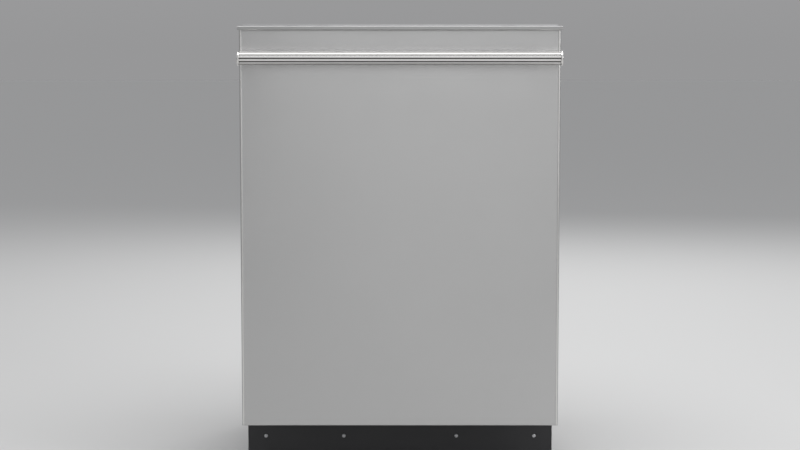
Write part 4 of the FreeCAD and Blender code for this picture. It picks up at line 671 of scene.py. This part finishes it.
def lower_rack():
    low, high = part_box("lower_rack")
    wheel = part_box("wheels_front")
    side = -wheel[0].x - 14.5 * MM
    node_box = (Vector((-side, low.y + 4 * MM, low.z)), Vector((side, high.y - 4 * MM, high.z)))
    floor_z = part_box("tines_left")[0].z - 8 * MM
    basket("lower_basket", "lower_rack_body", node_box, floor_z, ("lower_rack",), 38 * MM,
           (high.z - 3 * MM, high.z - 42 * MM))
    fixed = []
    for x in (-40 * MM, 40 * MM, -200 * MM, 200 * MM):
        for k in range(10):
            y = low.y + 60 * MM + k * 38 * MM
            foot_z, tip_z = floor_z + 3 * MM, floor_z + 70 * MM
            fixed.append(bent([(x - 14 * MM, y, foot_z), (x - 6 * MM, y, tip_z),
                               (x + 6 * MM, y, tip_z), (x + 14 * MM, y, foot_z)], 5 * MM, 4))
    tubes("fixed_tines", fixed, 1.7 * MM, "lower_rack_body", "rack_wire")
    carriers = bmesh.new()
    for name in ("wheels_front", "wheels_rear"):
        wheel_low, wheel_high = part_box(name)
        centre = (wheel_low + wheel_high) / 2
        for sign in (-1, 1):
            inner = sign * (wheel_high.x - 20 * MM)
            block(carriers, (min(inner, inner + sign * 3.4 * MM), centre.y - 15 * MM, centre.z - 10 * MM),
                  (max(inner, inner + sign * 3.4 * MM), centre.y + 15 * MM, centre.z + 46 * MM))
            lathe(carriers, scaled_mm((0, 3.2), (18.6, 3.2), (18.7, 5), (21, 4.4)),
                  (inner, centre.y, centre.z), (sign, 0, 0), 24)
    from_mesh("wheel_carriers", carriers, "lower_rack_body", "grey_plastic", bevel=0.8 * MM)


def rack_wheels(name, body):
    low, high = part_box(name)
    centre = (low + high) / 2
    radius = (high.z - low.z) / 2
    mesh = bmesh.new()
    for sign in (-1, 1):
        start = sign * (high.x - 10 * MM)
        wide = 10 * MM
        profile = ((0.2 * MM, 3.4 * MM), (0, 6.5 * MM), (2.8 * MM, 7.5 * MM), (2.8 * MM, radius - 4 * MM),
                   (0.4 * MM, radius - 3 * MM), (0.6 * MM, radius - 0.8 * MM), (2 * MM, radius),
                   (wide - 2 * MM, radius),
                   (wide - 0.6 * MM, radius - 0.8 * MM), (wide - 0.4 * MM, radius - 3 * MM),
                   (wide - 2.8 * MM, radius - 4 * MM), (wide - 2.8 * MM, 7.5 * MM), (wide, 6.5 * MM),
                   (wide - 0.2 * MM, 3.4 * MM))
        lathe(mesh, profile, (start, centre.y, centre.z), (sign, 0, 0))
        for k in range(6):
            turn = math.pi * k / 3
            spoke = Vector((0, math.cos(turn), math.sin(turn)))
            lathe(mesh, ((7 * MM, 1.6 * MM), (radius - 3.5 * MM, 1.6 * MM)),
                  Vector((start + sign * 1.8 * MM, centre.y, centre.z)), spoke, 10)
    from_mesh(name + "_moulded", mesh, body, "grey_plastic", (name,))


def tine_rows():
    for side in ("left", "right"):
        low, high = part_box(f"tines_{side}")
        x, base = (low.x + high.x) / 2, low.z + 2 * MM
        paths = [[(x, low.y, base), (x, high.y, base)]]
        count = 11
        for k in range(count):
            y = low.y + 10 * MM + (high.y - low.y - 20 * MM) * k / (count - 1)
            paths.append([(x, y, base), (x, y, high.z - 4 * MM), (x, y, high.z - 1.5 * MM)])
        tubes(f"tine_wires_{side}", paths, 1.9 * MM, f"tines_{side}_body", "rack_wire", (f"tines_{side}",))


def upper_rack():
    low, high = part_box("upper_rack")
    side = 233 * MM
    node_box = (Vector((-side, low.y + 5 * MM, low.z)), Vector((side, high.y - 5 * MM, high.z)))
    floor_z = low.z + 12 * MM
    basket("upper_basket", "upper_rack_body", node_box, floor_z, ("upper_rack",), 34 * MM,
           (high.z - 3 * MM, high.z - 40 * MM))
    tines = []
    for x in (-150 * MM, -75 * MM, 0.0, 75 * MM, 150 * MM):
        for k in range(12):
            y = low.y + 40 * MM + k * 34 * MM
            tines.append(bent([(x - 10 * MM, y, floor_z + 3 * MM), (x, y, floor_z + 46 * MM),
                               (x + 10 * MM, y, floor_z + 3 * MM)], 4 * MM, 4))
    tubes("upper_tines", tines, 1.6 * MM, "upper_rack_body", "rack_wire")
    runners = bmesh.new()
    for sign in (-1, 1):
        inner, outer = sign * 247.5 * MM, sign * 256.4 * MM
        block(runners, (min(inner, outer), low.y + 5 * MM, low.z),
              (max(inner, outer), high.y - 5 * MM, low.z + 14 * MM))
        plate = (sign * 240 * MM, sign * 247.4 * MM)
        block(runners, (min(plate), low.y + 70 * MM, low.z + 4 * MM),
              (max(plate), high.y - 70 * MM, low.z + 48 * MM))
    from_mesh("rack_runners", runners, "upper_rack_body", "grey_plastic", bevel=1.2 * MM)


def tray_fingers():
    low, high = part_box("cutlery_tray")
    mesh = bmesh.new()
    for row in range(5):
        y = low.y + 40 * MM + row * 92 * MM
        for column in range(27):
            x = low.x + 34 * MM + column * (high.x - low.x - 68 * MM) / 26
            lathe(mesh, scaled_mm((0, 2.2), (14, 1.6), (16, 0.8)),
                  (x, y, low.z + 2.4 * MM), (0, 0, 1), 10)
        block(mesh, (low.x + 12 * MM, y - 2 * MM, low.z + 2.4 * MM),
              (high.x - 12 * MM, y + 2 * MM, low.z + 6 * MM))
    from_mesh("tray_fingers", mesh, "cutlery_tray_body", "lid_plastic")


# ---------------------------------------------------------------- tub and door sheets

def tub_shell():
    """The U shaped wrap, with long pressed beads along its sides."""
    low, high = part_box("tub_wrap")
    bend = 40 * MM
    inner = high.x - 1.5 * MM
    top = high.z - 1.5 * MM
    leg = top - bend - low.z
    arc = math.pi * bend / 2
    flat = 2 * (inner - bend)
    whole = 2 * leg + 2 * arc + flat
    bead_heights = (0.30, 0.42, 0.60, 0.69)

    def spot(u, v):
        s = u * whole
        y = low.y + (high.y - low.y) * v
        side, at = (-1, s) if s < whole / 2 else (1, whole - s)
        if at < leg:
            z = low.z + at
            bead = sum(pad_shape(y, z, -0.16, 0.27, base, base + 0.012, 0.008) for base in bead_heights)
            return side * (inner - 2.2 * MM * bead), y, z
        at -= leg
        if at < arc:
            turn = at / bend
            return side * (inner - bend + bend * math.cos(turn)), y, top - bend + bend * math.sin(turn)
        at -= arc
        return side * (inner - bend - at), y, top

    grid_sheet("tub_shell", spot, 220, 60, 1.3 * MM, "cabinet", "tub_steel", ("tub_wrap",), outward=0.0)


def back_sheet():
    low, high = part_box("tub_back_wall")

    def spot(u, v):
        x, z = spread_over(low, high, u, v)
        press = sum(pad_shape(x, z, left, left + 0.15, 0.24, 0.76, 0.014) for left in (-0.2, 0.05))
        return x, low.y + 0.7 * MM - 5 * MM * press, z

    grid_sheet("back_sheet", spot, 90, 100, 1.2 * MM, "cabinet", "tub_steel", ("tub_back_wall",), outward=0.0)


def liner_sheet():
    """The inner door: a pressed sheet with a folded rim and a window for the dispenser."""
    low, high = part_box("door_liner")
    case_low, case_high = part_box("dispenser_case")
    skin = high.y - 0.6 * MM

    def spot(u, v):
        x, z = spread_over(low, high, u, v)
        press = pad_shape(x, z, low.x + 0.045, high.x - 0.045, low.z + 0.06, high.z - 0.06, 0.012)
        press -= pad_shape(x, z, case_low.x - 0.012, case_high.x + 0.012,
                           case_low.z - 0.012, case_high.z + 0.012, 0.008)
        return x, skin - 4 * MM * max(0.0, press), z

    def keep(u, v):
        x, z = spread_over(low, high, u, v)
        return not (case_low.x < x < case_high.x and case_low.z < z < case_high.z)

    grid_sheet("liner_sheet", spot, 118, 140, 1.1 * MM, "door", "tub_steel", ("door_liner",), keep,
               outward=0.0)
    rim = [(low.x, low.z), (high.x, low.z), (high.x, high.z), (low.x, high.z), (low.x, low.z)]

    def edge(u, v):
        leg = min(int(u * 4), 3)
        share = u * 4 - leg
        x = rim[leg][0] + (rim[leg + 1][0] - rim[leg][0]) * share
        z = rim[leg][1] + (rim[leg + 1][1] - rim[leg][1]) * share
        inset = 0.6 * MM
        x = max(low.x + inset, min(high.x - inset, x))
        z = max(low.z + inset, min(high.z - inset, z))
        return x, skin - (skin - low.y - 0.3 * MM) * v, z

    grid_sheet("liner_rim", edge, 160, 4, 1.1 * MM, "door", "tub_steel", outward=0.0)


# ---------------------------------------------------------------- outside details

def felt_wrap():
    """The blanket over the sides, top and back, with a window for the air break."""
    low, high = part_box("sound_blanket")
    window_low, window_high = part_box("air_break")
    thick = 7 * MM
    front, rear = low.y, high.y - 8 * MM
    bend = 16 * MM
    half, top = high.x - thick / 2 - 1.5 * MM, high.z - thick / 2 - 1 * MM
    path = bent(arch(half, 0, low.z, top), bend, 8)
    lengths = [0.0]
    for a, b in zip(path, path[1:]):
        lengths.append(lengths[-1] + (b - a).length)

    def along(s):
        for i in range(len(path) - 1):
            if s <= lengths[i + 1] or i == len(path) - 2:
                share = (s - lengths[i]) / (lengths[i + 1] - lengths[i])
                return path[i].lerp(path[i + 1], share)

    def spot(u, v):
        place = along(u * lengths[-1])
        y = front + (rear - front) * v
        sway = noise.noise(Vector((place.x * 14, y * 14, place.z * 14))) * 1.6 * MM
        seam = math.exp(-((v - 0.5) * (rear - front) / (4 * MM)) ** 2) * 2.2 * MM
        inward = Vector((place.x * 0.9, 0, (place.z - 0.5) * 1.2)).normalized()
        return place.x - inward.x * (sway + seam), y, place.z - inward.z * (sway + seam)

    def keep(u, v):
        place = along(u * lengths[-1])
        y = front + (rear - front) * v
        inside = window_low.y - 4 * MM < y < window_high.y + 4 * MM
        return not (place.x < -0.27 and inside and window_low.z - 4 * MM < place.z < window_high.z + 4 * MM)

    wrap = grid_sheet("felt_wrap", spot, 260, 90, thick, "cabinet", "felt", ("sound_blanket",), keep,
                      outward=0.0)

    def rear_spot(u, v):
        x = low.x + 3 * MM + (high.x - low.x - 6 * MM) * u
        z = low.z + (high.z - 3 * MM - low.z) * v
        sway = noise.noise(Vector((x * 12, 3.7, z * 12))) * 1.3 * MM
        lines = sum(math.exp(-((x - at) / (4 * MM)) ** 2) for at in (-0.14, 0.14)) * 2.2 * MM
        return x, high.y - thick / 2 - 1.6 * MM + sway - lines, z

    back = grid_sheet("felt_back", rear_spot, 90, 100, thick - 1 * MM, "cabinet", "felt", outward=0.0)


def blanket_clips():
    """Push clips that hold the blanket, and a sewn tape along its front edge."""
    low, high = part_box("sound_blanket")
    mesh = bmesh.new()
    disc = scaled_mm((0, 9), (0.8, 9), (1.6, 7.5), (2.0, 4), (1.4, 2))
    for z in (low.z + 0.05, (low.z + high.z) / 2, high.z - 0.07):
        for y in (low.y + 0.035, low.y + 0.23, high.y - 0.06):
            for sign in (-1, 1):
                if sign > 0 or z < 0.3 or z > 0.6 or y < low.y + 0.1 or y > 0.2:
                    lathe(mesh, disc, (sign * (high.x - 2.6 * MM), y, z), (sign, 0, 0), 28)
        for x in (-0.22, 0.0, 0.22):
            lathe(mesh, disc, (x, high.y - 2.6 * MM, z), (0, 1, 0), 28)
    for x in (-0.22, 0.0, 0.22):
        for y in (low.y + 0.035, high.y - 0.06):
            lathe(mesh, disc, (x, y, high.z - 2.4 * MM), (0, 0, 1), 28)
    from_mesh("blanket_clips", mesh, "cabinet", "felt", look="dark_plastic")
    side, top = high.x - 4.2 * MM, high.z - 4.0 * MM
    path = bent(arch(side, low.y + 1.2 * MM, low.z + 2 * MM, top), 16 * MM, 8)
    tubes("blanket_binding", [path], 3.4 * MM, "cabinet", "felt")


def dispenser_trim():
    """Rims, grip ribs and the vent of the dispenser, on its face."""
    case_low, case_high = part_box("dispenser_case")
    lid_low, lid_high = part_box("detergent_lid")
    cap_low, cap_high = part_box("rinse_cap")
    face = case_high.y
    edge = 3 * MM
    left, right = case_low.x + edge, case_high.x - edge
    foot, head = case_low.z + edge, case_high.z - edge
    paths = [bent([(left, face, foot), (right, face, foot), (right, face, head), (left, face, head)],
                  7 * MM, closed=True)]
    tubes("dispenser_rim", paths, 1.5 * MM, "door", "grey_plastic", closed=True)
    mesh = bmesh.new()
    for k in range(7):
        x = case_low.x + 140 * MM + k * 5 * MM
        block(mesh, (x, face - 0.4 * MM, case_high.z - 26 * MM),
              (x + 2.2 * MM, face + 1.2 * MM, case_high.z - 12 * MM))
    for k in range(5):
        z = case_low.z + 14 * MM + k * 4.2 * MM
        block(mesh, (cap_low.x - 2 * MM, face - 0.4 * MM, z),
              (cap_high.x - 4 * MM, face + 0.9 * MM, z + 1.6 * MM))
    from_mesh("dispenser_ribs", mesh, "door", "grey_plastic", bevel=0.4 * MM)
    lid = bmesh.new()
    top = lid_high.y
    for k in range(5):
        z = lid_high.z - 12 * MM - k * 4 * MM
        block(lid, (lid_low.x + 30 * MM, top - 3.4 * MM, z),
              (lid_high.x - 30 * MM, top - 1.2 * MM, z + 1.8 * MM))
    from_mesh("lid_ribs", lid, "detergent_lid_body", "lid_plastic", bevel=0.5 * MM)


def dispenser_moulds():
    """The sliding lid with its raised border and grip, and the rinse aid cap with its knurled rim."""
    low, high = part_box("detergent_lid")
    back, face = low.y + 0.15 * MM, low.y + 3 * MM
    lid = bmesh.new()
    block(lid, (low.x, back, low.z), (high.x, face - 0.8 * MM, high.z))
    for a, b in (((low.x, low.z), (high.x, low.z + 4 * MM)), ((low.x, high.z - 4 * MM), (high.x, high.z)),
                 ((low.x, low.z + 3.9 * MM), (low.x + 4 * MM, high.z - 3.9 * MM)),
                 ((high.x - 4 * MM, low.z + 3.9 * MM), (high.x, high.z - 3.9 * MM))):
        block(lid, (a[0], face - 1.0 * MM, a[1]), (b[0], face, b[1]))
    block(lid, (low.x + 4 * MM, face - 1.0 * MM, low.z + 8 * MM), (high.x - 4 * MM, high.y, low.z + 12 * MM))
    from_mesh("detergent_lid_moulded", lid, "detergent_lid_body", "lid_plastic", ("detergent_lid",),
              bevel=0.6 * MM)
    low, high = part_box("rinse_cap")
    middle = (low + high) / 2
    radius = (high.z - low.z) / 2
    cap = bmesh.new()
    lathe(cap, ((low.y, radius - 0.8 * MM), (low.y + 0.6 * MM, radius), (low.y + 4.4 * MM, radius),
                (low.y + 5.6 * MM, radius - 1.4 * MM), (low.y + 6 * MM, radius - 3 * MM),
                (low.y + 6 * MM, radius - 5 * MM), (low.y + 5.2 * MM, radius - 6 * MM),
                (low.y + 5.0 * MM, 1 * MM)),
          (middle.x, 0, middle.z), (0, 1, 0), 64)
    for k in range(32):
        turn = 2 * math.pi * k / 32
        x = middle.x + (radius - 0.35 * MM) * math.cos(turn)
        z = middle.z + (radius - 0.35 * MM) * math.sin(turn)
        lathe(cap, ((low.y + 0.8 * MM, 0.3 * MM), (low.y + 1.2 * MM, 0.6 * MM), (low.y + 4.0 * MM, 0.6 * MM),
                    (low.y + 4.6 * MM, 0.3 * MM)), (x, 0, z), (0, 1, 0), 8)
    block(cap, (middle.x - 17 * MM, low.y + 4.8 * MM, middle.z - 2.6 * MM),
          (middle.x + 17 * MM, high.y, middle.z + 2.6 * MM))
    from_mesh("rinse_cap_moulded", cap, "rinse_cap_body", SLOTS["rinse_cap"], ("rinse_cap",), bevel=0.25 * MM)


def tub_vent():
    """Round grille where the water jacket opens into the tub, on the left wall."""
    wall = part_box("tub_wrap")[0].x + 1.6 * MM
    centre = (-60 * MM, 0.36)
    mesh = bmesh.new()
    lathe(mesh, scaled_mm((0, 30), (1.6, 30), (2.4, 28.5), (2.4, 26), (1.2, 25), (1.2, 1)),
          (wall, *centre), (1, 0, 0), 56)
    opening, pitch = 25, 5.4
    for k in range(-4, 5):
        reach = math.sqrt(opening ** 2 - (k * pitch) ** 2) * MM
        z = centre[1] + k * pitch * MM
        block(mesh, (wall + 0.8 * MM, centre[0] - reach, z - 1.2 * MM),
              (wall + 2.3 * MM, centre[0] + reach, z + 1.2 * MM))
    from_mesh("tub_vent", mesh, "cabinet", "grey_plastic")


def coil_springs():
    low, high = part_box("door_springs")
    paths = []
    for sign in (-1, 1):
        centre = Vector((sign * (high.x - 5.5 * MM), 0, (low.z + high.z) / 2))
        start, end = low.y + 66 * MM, high.y
        turns, steps = 44, 14
        path = [(centre.x, low.y + 1 * MM, centre.z), (centre.x, start - 4 * MM, centre.z)]
        for k in range(turns * steps + 1):
            angle = 2 * math.pi * k / steps
            y = start + (end - start - 2 * MM) * k / (turns * steps)
            path.append((centre.x + 4.4 * MM * math.cos(angle), y, centre.z + 4.4 * MM * math.sin(angle)))
        paths.append(path)
    tubes("coil_springs", paths, 1.0 * MM, "cabinet", "zinc", ("door_springs",))


def screw_heads(name, node, along, body):
    """Pan heads with a cross recess, one for each solid of the node, in the order of the node's vertices."""
    mesh = bmesh.new()
    seen = bmesh.new()
    seen.from_mesh(NODES[node].data)
    bmesh.ops.remove_doubles(seen, verts=seen.verts, dist=1e-6)
    for vertex in seen.verts:
        vertex.tag = False
    for vertex in seen.verts:
        if vertex.tag:
            continue
        vertex.tag = True
        stack, island = [vertex], []
        while stack:
            v = stack.pop()
            island.append(v.co.copy())
            for e in v.link_edges:
                w = e.other_vert(v)
                if not w.tag:
                    w.tag = True
                    stack.append(w)
        centre = sum(island, Vector()) / len(island)
        direction = along(centre)
        pan_head(mesh, centre - direction * 1 * MM, direction, 3.6 * MM, 1.9 * MM)
    seen.free()
    from_mesh(name, mesh, body, "zinc", (node,))


def pan_head(mesh, base, along, radius, height):
    along = Vector(along).normalized()
    side = along.orthogonal().normalized()
    other = along.cross(side)
    rings, steps = 9, 32
    middle = mesh.verts.new(Vector(base) + along * height * 0.45)
    last = None
    for r in range(1, rings + 1):
        share = r / rings
        ring = []
        for k in range(steps):
            turn = 2 * math.pi * k / steps
            a, b = math.cos(turn) * share, math.sin(turn) * share
            rise = height * (1 - share ** 4 * 0.55)
            if min(abs(a), abs(b)) < 0.16 and share < 0.62:
                rise = height * 0.45
            ring.append(mesh.verts.new(Vector(base) + (side * a + other * b) * radius + along * rise))
        for k in range(steps):
            if last:
                mesh.faces.new((last[k], last[(k + 1) % steps], ring[(k + 1) % steps], ring[k]))
            else:
                mesh.faces.new((middle, ring[(k + 1) % steps], ring[k]))
        last = ring
    foot = [mesh.verts.new(v.co - along * (v.co - Vector(base)).dot(along)) for v in last]
    for k in range(steps):
        mesh.faces.new((last[k], last[(k + 1) % steps], foot[(k + 1) % steps], foot[k]))
    mesh.faces.new(foot)


def base_ribs():
    """Stiffening ribs moulded on the outside of the base tray."""
    low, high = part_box("base_tray")
    mesh = bmesh.new()
    for sign in (-1, 1):
        face = sign * high.x
        out = face + sign * 2 * MM
        for k in range(10):
            y = low.y + 70 * MM + k * 42 * MM
            block(mesh, (min(face, out), y - 1 * MM, low.z + 2 * MM),
                  (max(face, out), y + 1 * MM, high.z - 32 * MM))
        block(mesh, (min(face, out), low.y + 60 * MM, low.z + 48 * MM),
              (max(face, out), high.y - 2 * MM, low.z + 51 * MM))
    for k in range(7):
        x = low.x + 180 * MM + k * 54 * MM
        block(mesh, (x - 1 * MM, high.y, low.z + 4 * MM), (x + 1 * MM, high.y + 3 * MM, high.z - 4 * MM))
    from_mesh("base_ribs", mesh, "cabinet", "dark_plastic", bevel=0.4 * MM)


def air_break_channels():
    """The labyrinth moulded in the water jacket on the left side."""
    low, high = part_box("air_break")
    mesh = bmesh.new()
    face = low.x
    for k in range(6):
        z = low.z + 28 * MM + k * 42 * MM
        block(mesh, (face - 0.8 * MM, low.y + 12 * MM + (k % 2) * 22 * MM, z),
              (face + 1.0 * MM, high.y - 34 * MM + (k % 2) * 22 * MM, z + 4 * MM))
    for y in (low.y + 6 * MM, high.y - 10 * MM):
        block(mesh, (face - 0.8 * MM, y, low.z + 6 * MM), (face + 1 * MM, y + 4 * MM, high.z - 6 * MM))
    from_mesh("air_break_channels", mesh, "cabinet", "clear_plastic", bevel=0.5 * MM)


def spray_arm(name, node, body):
    """A hollow moulded arm: a tapering blade with a swept end and raised nozzles."""
    low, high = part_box(node)
    centre = (low + high) / 2
    reach = (high.x - low.x) / 2
    base, top = low.z + 0.6 * MM, high.z - 2.5 * MM
    half = (high.y - low.y) / 2 - 2 * MM
    mesh = bmesh.new()
    columns, rows = 60, 14
    layers = []
    for level in (0, 1):
        layer = []
        for i in range(columns + 1):
            along = -1 + 2 * i / columns
            wide = half * (0.92 - 0.25 * abs(along)) * math.sqrt(max(0.0, 1 - abs(along) ** 14)) + 0.2 * MM
            layer.append([])
            for j in range(rows + 1):
                across = -1 + 2 * j / rows
                crown = (1 - abs(across) ** 3) * (1 - abs(along) ** 10)
                tilt = 2.0 * MM * along * across
                if level == 0:
                    z = base + tilt * 0.4 + 1.5 * MM
                else:
                    z = base + 2 * MM + (top - base - 2.5 * MM) * crown + tilt * 0.2
                y = centre.y + across * wide
                layer[i].append(mesh.verts.new((centre.x + along * reach, y, z)))
        layers.append(layer)
    for layer in layers:
        for i in range(columns):
            for j in range(rows):
                mesh.faces.new((layer[i][j], layer[i + 1][j], layer[i + 1][j + 1], layer[i][j + 1]))
    a, b = layers
    for i in range(columns):
        for j in (0, rows):
            mesh.faces.new((a[i][j], a[i + 1][j], b[i + 1][j], b[i][j]))
    for j in range(rows):
        for i in (0, columns):
            mesh.faces.new((a[i][j], a[i][j + 1], b[i][j + 1], b[i][j]))
    lathe(mesh, ((0, 12 * MM), (0, 20 * MM), (top - base, 21 * MM), (high.z - base - 0.5 * MM, 15 * MM),
                 (high.z - base - 0.5 * MM, 11 * MM)), (centre.x, centre.y, base), (0, 0, 1), 40)
    for sign in (-1, 1):
        for k in range(6):
            x = centre.x + sign * reach * (0.24 + 0.13 * k)
            y = centre.y + (6 * MM if k % 2 else -6 * MM)
            lathe(mesh, scaled_mm((-2, 3.2), (1.0, 3.0), (1.2, 1.6), (0, 1.4)),
                  (x, y, top - 0.6 * MM), (0, 0, 1), 18)
    from_mesh(name, mesh, body, "grey_plastic", (node,))


def gasket_bulb():
    """Two soft ridges on the gasket's face."""
    low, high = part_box("tub_gasket")
    paths = []
    for inset in (3 * MM, 8 * MM):
        side, top = high.x - inset, high.z - inset
        paths.append(bent(arch(side, low.y + 0.7 * MM, low.z, top), 6 * MM))
    tubes("gasket_ridges", paths, 0.8 * MM, "cabinet", "rubber")


def ridges(mesh, centre, along, start, end, inner, outer, pitch, flat=0.35):
    """Rings like a thread or like cooling fins, from start to end along an axis from centre."""
    profile = [(start, inner)]
    count = int((end - start) / pitch)
    for k in range(count):
        at = start + k * pitch
        profile += [(at + pitch * (0.5 - flat / 2), outer), (at + pitch * (0.5 + flat / 2), outer),
                    (at + pitch, inner)]
    lathe(mesh, profile, centre, along, 40)


def water_stubs():
    """The inlet's thread and the moulded collar round it, and the drain stub's barbs."""
    inlet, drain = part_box("inlet_valve")[1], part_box("drain_pump")[1]
    axis = Vector((0, 1, 0))
    mesh = bmesh.new()
    ridges(mesh, (INLET_X, 0, STUB_Z), axis, 306 * MM, inlet.y - 0.6 * MM, 13.1 * MM, 13.8 * MM,
           1.8 * MM, 0.15)
    lathe(mesh, scaled_mm((300, 13), (300.4, 16.5), (303.4, 16.5), (304, 13)),
          (INLET_X, 0, STUB_Z), axis, 6)
    from_mesh("inlet_thread", mesh, "cabinet", "grey_plastic", flat=True)
    barbs = bmesh.new()
    for k in range(4):
        at = drain.y - (0.4 + 5.2 * k) * MM
        lathe(barbs, ((at, 8.6 * MM), (at - 3.6 * MM, 10.6 * MM), (at - 4.2 * MM, 10.6 * MM),
                      (at - 4.6 * MM, 9.4 * MM)),
              (DRAIN_X, 0, STUB_Z), axis, 40)
    from_mesh("drain_barbs", barbs, "cabinet", "grey_plastic")


def foot_threads():
    for name in ("front_left", "front_right", "rear_left", "rear_right"):
        low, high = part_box(f"foot_{name}")
        middle = (low + high) / 2
        mesh = bmesh.new()
        ridges(mesh, (middle.x, middle.y, 0), (0, 0, 1), low.z + 14 * MM, high.z - 0.4 * MM,
               4.8 * MM, 5.35 * MM, 1.5 * MM, 0.2)
        lathe(mesh, ((low.z + 9 * MM, 9 * MM), (low.z + 13.4 * MM, 9 * MM), (low.z + 14 * MM, 4.9 * MM)),
              (middle.x, middle.y, 0), (0, 0, 1), 6)
        from_mesh(f"foot_thread_{name}", mesh, f"foot_{name}_body", SLOTS[f"foot_{name}"], look="zinc",
                  flat=True)


def pump_details():
    """Fins and an end plate on the wash pump, and windings' rings on the drain pump."""
    low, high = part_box("wash_pump")
    axis = Vector((1, 0, 0))
    centre = (0, PUMP_Y, PUMP_Z)
    mesh = bmesh.new()
    ridges(mesh, centre, axis, low.x + 52 * MM, high.x - 12 * MM, 35.8 * MM, 38.6 * MM, 5.2 * MM, 0.3)
    plate = scaled_mm((-9, 36), (-8.4, 38), (-2, 38), (-0.6, 36), (0.4, 30), (0.5, 9), (2.2, 8), (2.2, 1))
    lathe(mesh, [(high.x + reach, radius) for reach, radius in plate], centre, axis, 56)
    from_mesh("pump_fins", mesh, "cabinet", "motor")
    bolts = bmesh.new()
    circle = 34 * MM
    for k in range(6):
        turn = 2 * math.pi * (k + 0.5) / 6
        spot = (low.x, PUMP_Y + circle * math.cos(turn), PUMP_Z + circle * math.sin(turn))
        pan_head(bolts, spot, (-1, 0, 0), 2.6 * MM, 1.8 * MM)
    from_mesh("pump_bolts", bolts, "cabinet", "motor", look="zinc")
    drain_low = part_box("drain_pump")[0]
    coil = bmesh.new()
    ridges(coil, (0, PUMP_Y, DRAIN_Z), axis, drain_low.x + 8 * MM, drain_low.x + 44 * MM,
           23.9 * MM, 25 * MM, 4.5 * MM, 0.5)
    from_mesh("drain_pump_rings", coil, "cabinet", "grey_plastic")


def junction_cover():
    """A pressed lid with two screws on the front of the junction box."""
    low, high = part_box("junction_box")
    mesh = bmesh.new()
    block(mesh, (low.x + 3 * MM, low.y - 1.2 * MM, low.z + 3 * MM),
          (high.x - 3 * MM, low.y + 0.3 * MM, high.z - 3 * MM))
    from_mesh("junction_lid", mesh, "cabinet", SLOTS["junction_box"], bevel=0.6 * MM)
    screws = bmesh.new()
    for x in (low.x + 9 * MM, high.x - 9 * MM):
        pan_head(screws, (x, low.y - 1.2 * MM, (low.z + high.z) / 2), (0, -1, 0), 3.2 * MM, 1.6 * MM)
    from_mesh("junction_screws", screws, "cabinet", SLOTS["junction_box"], look="zinc")


def hinge_rivets():
    """Heads of the hinge pins, and the rivets that hold the straps and the bracket feet."""
    for name, body, spots in (
            ("hinge_arms", "door", ((-0.238, 0.2), (-0.238, 0.262), (-0.238, 0.318))),
            ("hinge_brackets", "cabinet",
             ((-0.138, 0.112), (-0.112, 0.112), (-0.138, 0.148), (-0.112, 0.148)))):
        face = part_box(name)[1].x if name == "hinge_arms" else BRACKET_FACE
        mesh = bmesh.new()
        for side in (-1, 1):
            for y, z in spots:
                pan_head(mesh, (side * face, y, z), (side, 0, 0), 3.2 * MM, 1.2 * MM)
        from_mesh(name + "_rivets", mesh, body, SLOTS[name], look="zinc")


def fascia_louvres():
    """Steam vent slots beside the latch, on the tub side of the fascia."""
    low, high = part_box("control_fascia")
    mesh = bmesh.new()
    for side in (-1, 1):
        for k in range(12):
            x = side * (120 + 9 * k) * MM
            block(mesh, (x - 1.6 * MM, high.y - 0.5 * MM, low.z + 14 * MM),
                  (x + 1.6 * MM, high.y + 0.9 * MM, low.z + 34 * MM))
        middle = side * 172 * MM
        for z in (low.z + 9 * MM, low.z + 37.5 * MM):
            block(mesh, (middle - 66 * MM, high.y - 0.5 * MM, z),
                  (middle + 66 * MM, high.y + 0.6 * MM, z + 1.5 * MM))
    from_mesh("fascia_louvres", mesh, "door", SLOTS["control_fascia"], bevel=0.5 * MM)


def build():
    dress_nodes()
    ribbed_bar()
    handle_ends()
    door_skin()
    lower_rack()
    for axle in ("front", "rear"):
        rack_wheels(f"wheels_{axle}", f"wheels_{axle}_body")
    tine_rows()
    upper_rack()
    tray_fingers()
    tub_shell()
    back_sheet()
    liner_sheet()
    felt_wrap()
    blanket_clips()
    dispenser_trim()
    dispenser_moulds()
    tub_vent()
    coil_springs()
    screw_heads("cabinet_screw_heads", "cabinet_screws", lambda c: Vector((0, -1, 0)), "cabinet")
    screw_heads("door_screw_heads", "door_screws", lambda c: Vector((1 if c.x > 0 else -1, 0, 0)), "door")
    base_ribs()
    air_break_channels()
    for level in ("lower", "upper", "ceiling"):
        spray_arm(f"{level}_arm_moulded", f"{level}_spray_arm", f"{level}_arm_body")
    gasket_bulb()
    water_stubs()
    foot_threads()
    pump_details()
    junction_cover()
    hinge_rivets()
    fascia_louvres()


make_camera()
make_studio()
build()
